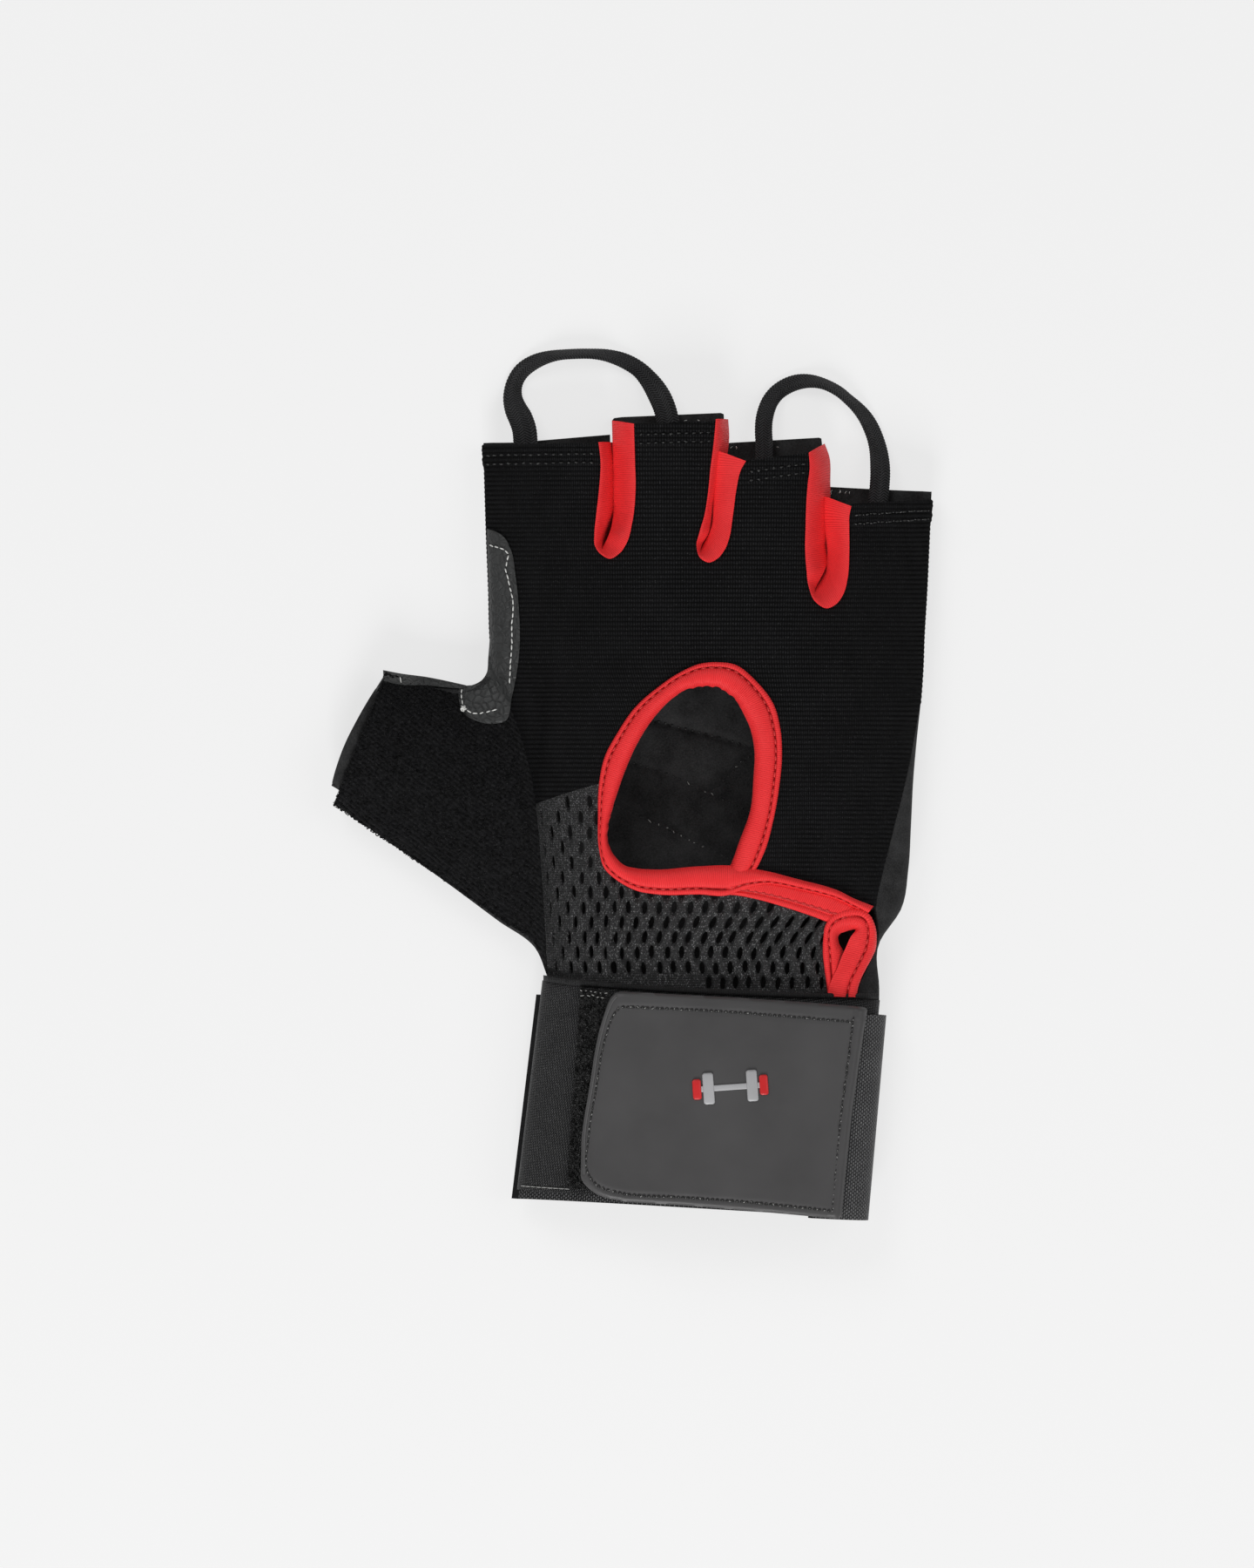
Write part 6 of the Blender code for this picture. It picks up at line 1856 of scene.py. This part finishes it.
def hook_tape():
    """The hook tape beside the tab, with bent hooks and a sewn end."""
    outline = photo(HOOK_LEFT + HOOK_RIGHT)
    pad_on_cuff(
        "hook_tape", outline, HOOK_OFFSET, 1.3 * MM, 0.45, hook_relief, "closure_strip", "hook"
    )
    random = np.random.default_rng(12)
    down = random.uniform(0, 1, HOOK_COUNT)
    edge = counted(photo(HOOK_LEFT), 200, smooth=False)
    across, jitter = random.uniform(0.1, 6.0, HOOK_COUNT) * MM, random.normal(0, 0.2, HOOK_COUNT) * MM
    plan = edge[(down * 199).astype(int)] + np.stack([across, jitter], axis=1)
    upward = np.tile((0.0, 0.0, 1.0), (HOOK_COUNT, 1))
    curls("hooks", on_cuff(HOOK_OFFSET)(plan), upward, 0.30, 0.06, "hook", 13)
    lines = [over(line, on_cuff(HOOK_OFFSET), 0.2 * MM) for line in HOOK_DASHES]
    beads("hook_top_stitches", lines, 0.55, 1.15, 0.11, "grey_thread_and_glints", wobble=0.15)


# Small threads


def tip_stitches():
    """Two sewn rows below each fingertip's edge."""
    lines = []
    for tip in TIPS_BACK:
        for row in TIP_STITCH_ROWS:
            inset = np.array(tip, float) + (0, row / PIXEL)
            inset[0, 0] += 4
            inset[-1, 0] -= 4
            lines.append(over(inset, on_back, 0.42 * MM))
    beads("fingertip_stitches", lines, 0.95, 1.75, 0.17, "black_thread", wobble=0.05)
    # Painted glints: dim grey beads on the fingertips' black stitches.
    beads("fingertip_glints", lines, 0.40, 1.75, 0.10, "dim_stitch_glints", wobble=0.12, seed=4)


def loose_ends():
    """White thread ends in the finger openings."""
    random = np.random.default_rng(21)
    places = []
    for centre, count in THREAD_ENDS:
        plan = photo(np.array(centre) + random.normal(0, (7, 1.5), (count, 2)))
        places.append(sole_point(unrolled(plan)) + (0, 0, PALM_WALL + 1.0 * MM))
    places = np.vstack(places)
    upward = np.tile((0.0, 0.3, 1.0), (len(places), 1))
    curls("white_thread_ends", places, upward, 0.26, 0.07, "white_thread", 22)


# Floor and light


def floor_and_light():
    """A pale floor, three soft lamps and the light of the room."""
    mesh = bpy.data.meshes.new("pale_floor")
    grid = bmesh.new()
    bmesh.ops.create_grid(grid, x_segments=8, y_segments=8, size=4)
    grid.to_mesh(mesh)
    grid.free()
    mesh.materials.append(floor_finish())
    link_stage(bpy.data.objects.new("pale_floor", mesh))
    for name, place, size, power in LAMPS:
        data = bpy.data.lights.new(name, "AREA")
        data.shape = "SQUARE"
        data.size = size
        data.energy = power
        lamp = link_stage(bpy.data.objects.new(name, data))
        lamp.location = place
        lamp.rotation_mode = "QUATERNION"
        lamp.rotation_quaternion = (-Vector(place)).to_track_quat("-Z", "Y")
    world = bpy.data.worlds.new("pale_room")
    world.use_nodes = True
    background = world.node_tree.nodes["Background"].inputs
    background["Color"].default_value = (1, 1, 1, 1)
    background["Strength"].default_value = ROOM_LIGHT
    bpy.context.scene.world = world
    bpy.context.scene.view_settings.view_transform = "Standard"


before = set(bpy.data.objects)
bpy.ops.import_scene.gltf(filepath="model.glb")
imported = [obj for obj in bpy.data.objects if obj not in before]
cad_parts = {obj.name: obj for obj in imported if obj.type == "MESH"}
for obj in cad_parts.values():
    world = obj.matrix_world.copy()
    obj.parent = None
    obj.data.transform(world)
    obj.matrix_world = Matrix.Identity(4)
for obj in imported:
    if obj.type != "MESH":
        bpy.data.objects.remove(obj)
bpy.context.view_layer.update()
FINISHES = {
    "knit": knit_finish(),
    "net": net_finish(),
    "terry": terry_finish(),
    "suede": suede_finish(),
    "leather": leather_finish(),
    "tape": tape_finish(),
    "elastic": elastic_finish("woven_elastic", 0.80, 0.42, 0.048),
    "strap": elastic_finish("strap_elastic", 0.85, 0.55, 0.155, 0),
    "elastic_edge": elastic_finish("elastic_edge", 1.4, 0.32, 0.05, 90),
    "hook": hook_finish(),
    "rubber": rubber_finish("moulded_rubber", (0.060, 0.0585, 0.0595), 0.5),
    # A lighter copy of the tab's rubber: painted highlight on the rim's ridges.
    "highlighted_rubber_rim": rubber_finish("highlighted_rubber_rim", (0.105, 0.103, 0.104), 0.42),
    "braid": braid_finish(),
    "white_thread": thread_finish("white_thread", (0.72, 0.72, 0.70)),
    # Grey beads: real grey thread on the cuff's edge and the hook tape's end, and painted glints on black
    # stitches.
    "grey_thread_and_glints": thread_finish("grey_thread_and_glints", (0.30, 0.30, 0.29)),
    # Dim grey beads that are only painted glints on black stitches.
    "dim_stitch_glints": thread_finish("dim_stitch_glints", (0.11, 0.11, 0.11)),
    "black_thread": thread_finish("black_thread", (0.020, 0.020, 0.020), 0.35),
    "red_thread": thread_finish("red_thread", (0.66, 0.035, 0.035)),
    "silver_ink": rubber_finish("silver_relief", (0.40, 0.40, 0.41), 0.35),
    "red_ink": rubber_finish("red_relief", (0.60, 0.020, 0.022), 0.40),
}
overhead_camera()
pull_loop("pull_loop_index_middle", 58, (1.8, 1.4), (0.0, 0.0, 1.2, 0.6, 1.7, 0.6, 0.0))
pull_loop("pull_loop_ring_little", 54, (0.2, 0.8), (0.0, 0.0, 0.0, 0.4, 1.9, 1.2, 0.0))
back_of_knit()
wrist_net()
palm()
thumb()
patch()
red_tapes()
for slot_number in range(len(SLOT_TAPES)):
    gusset(slot_number)
cuff()
strap()
hook_tape()
tab()
tip_stitches()
loose_ends()
floor_and_light()
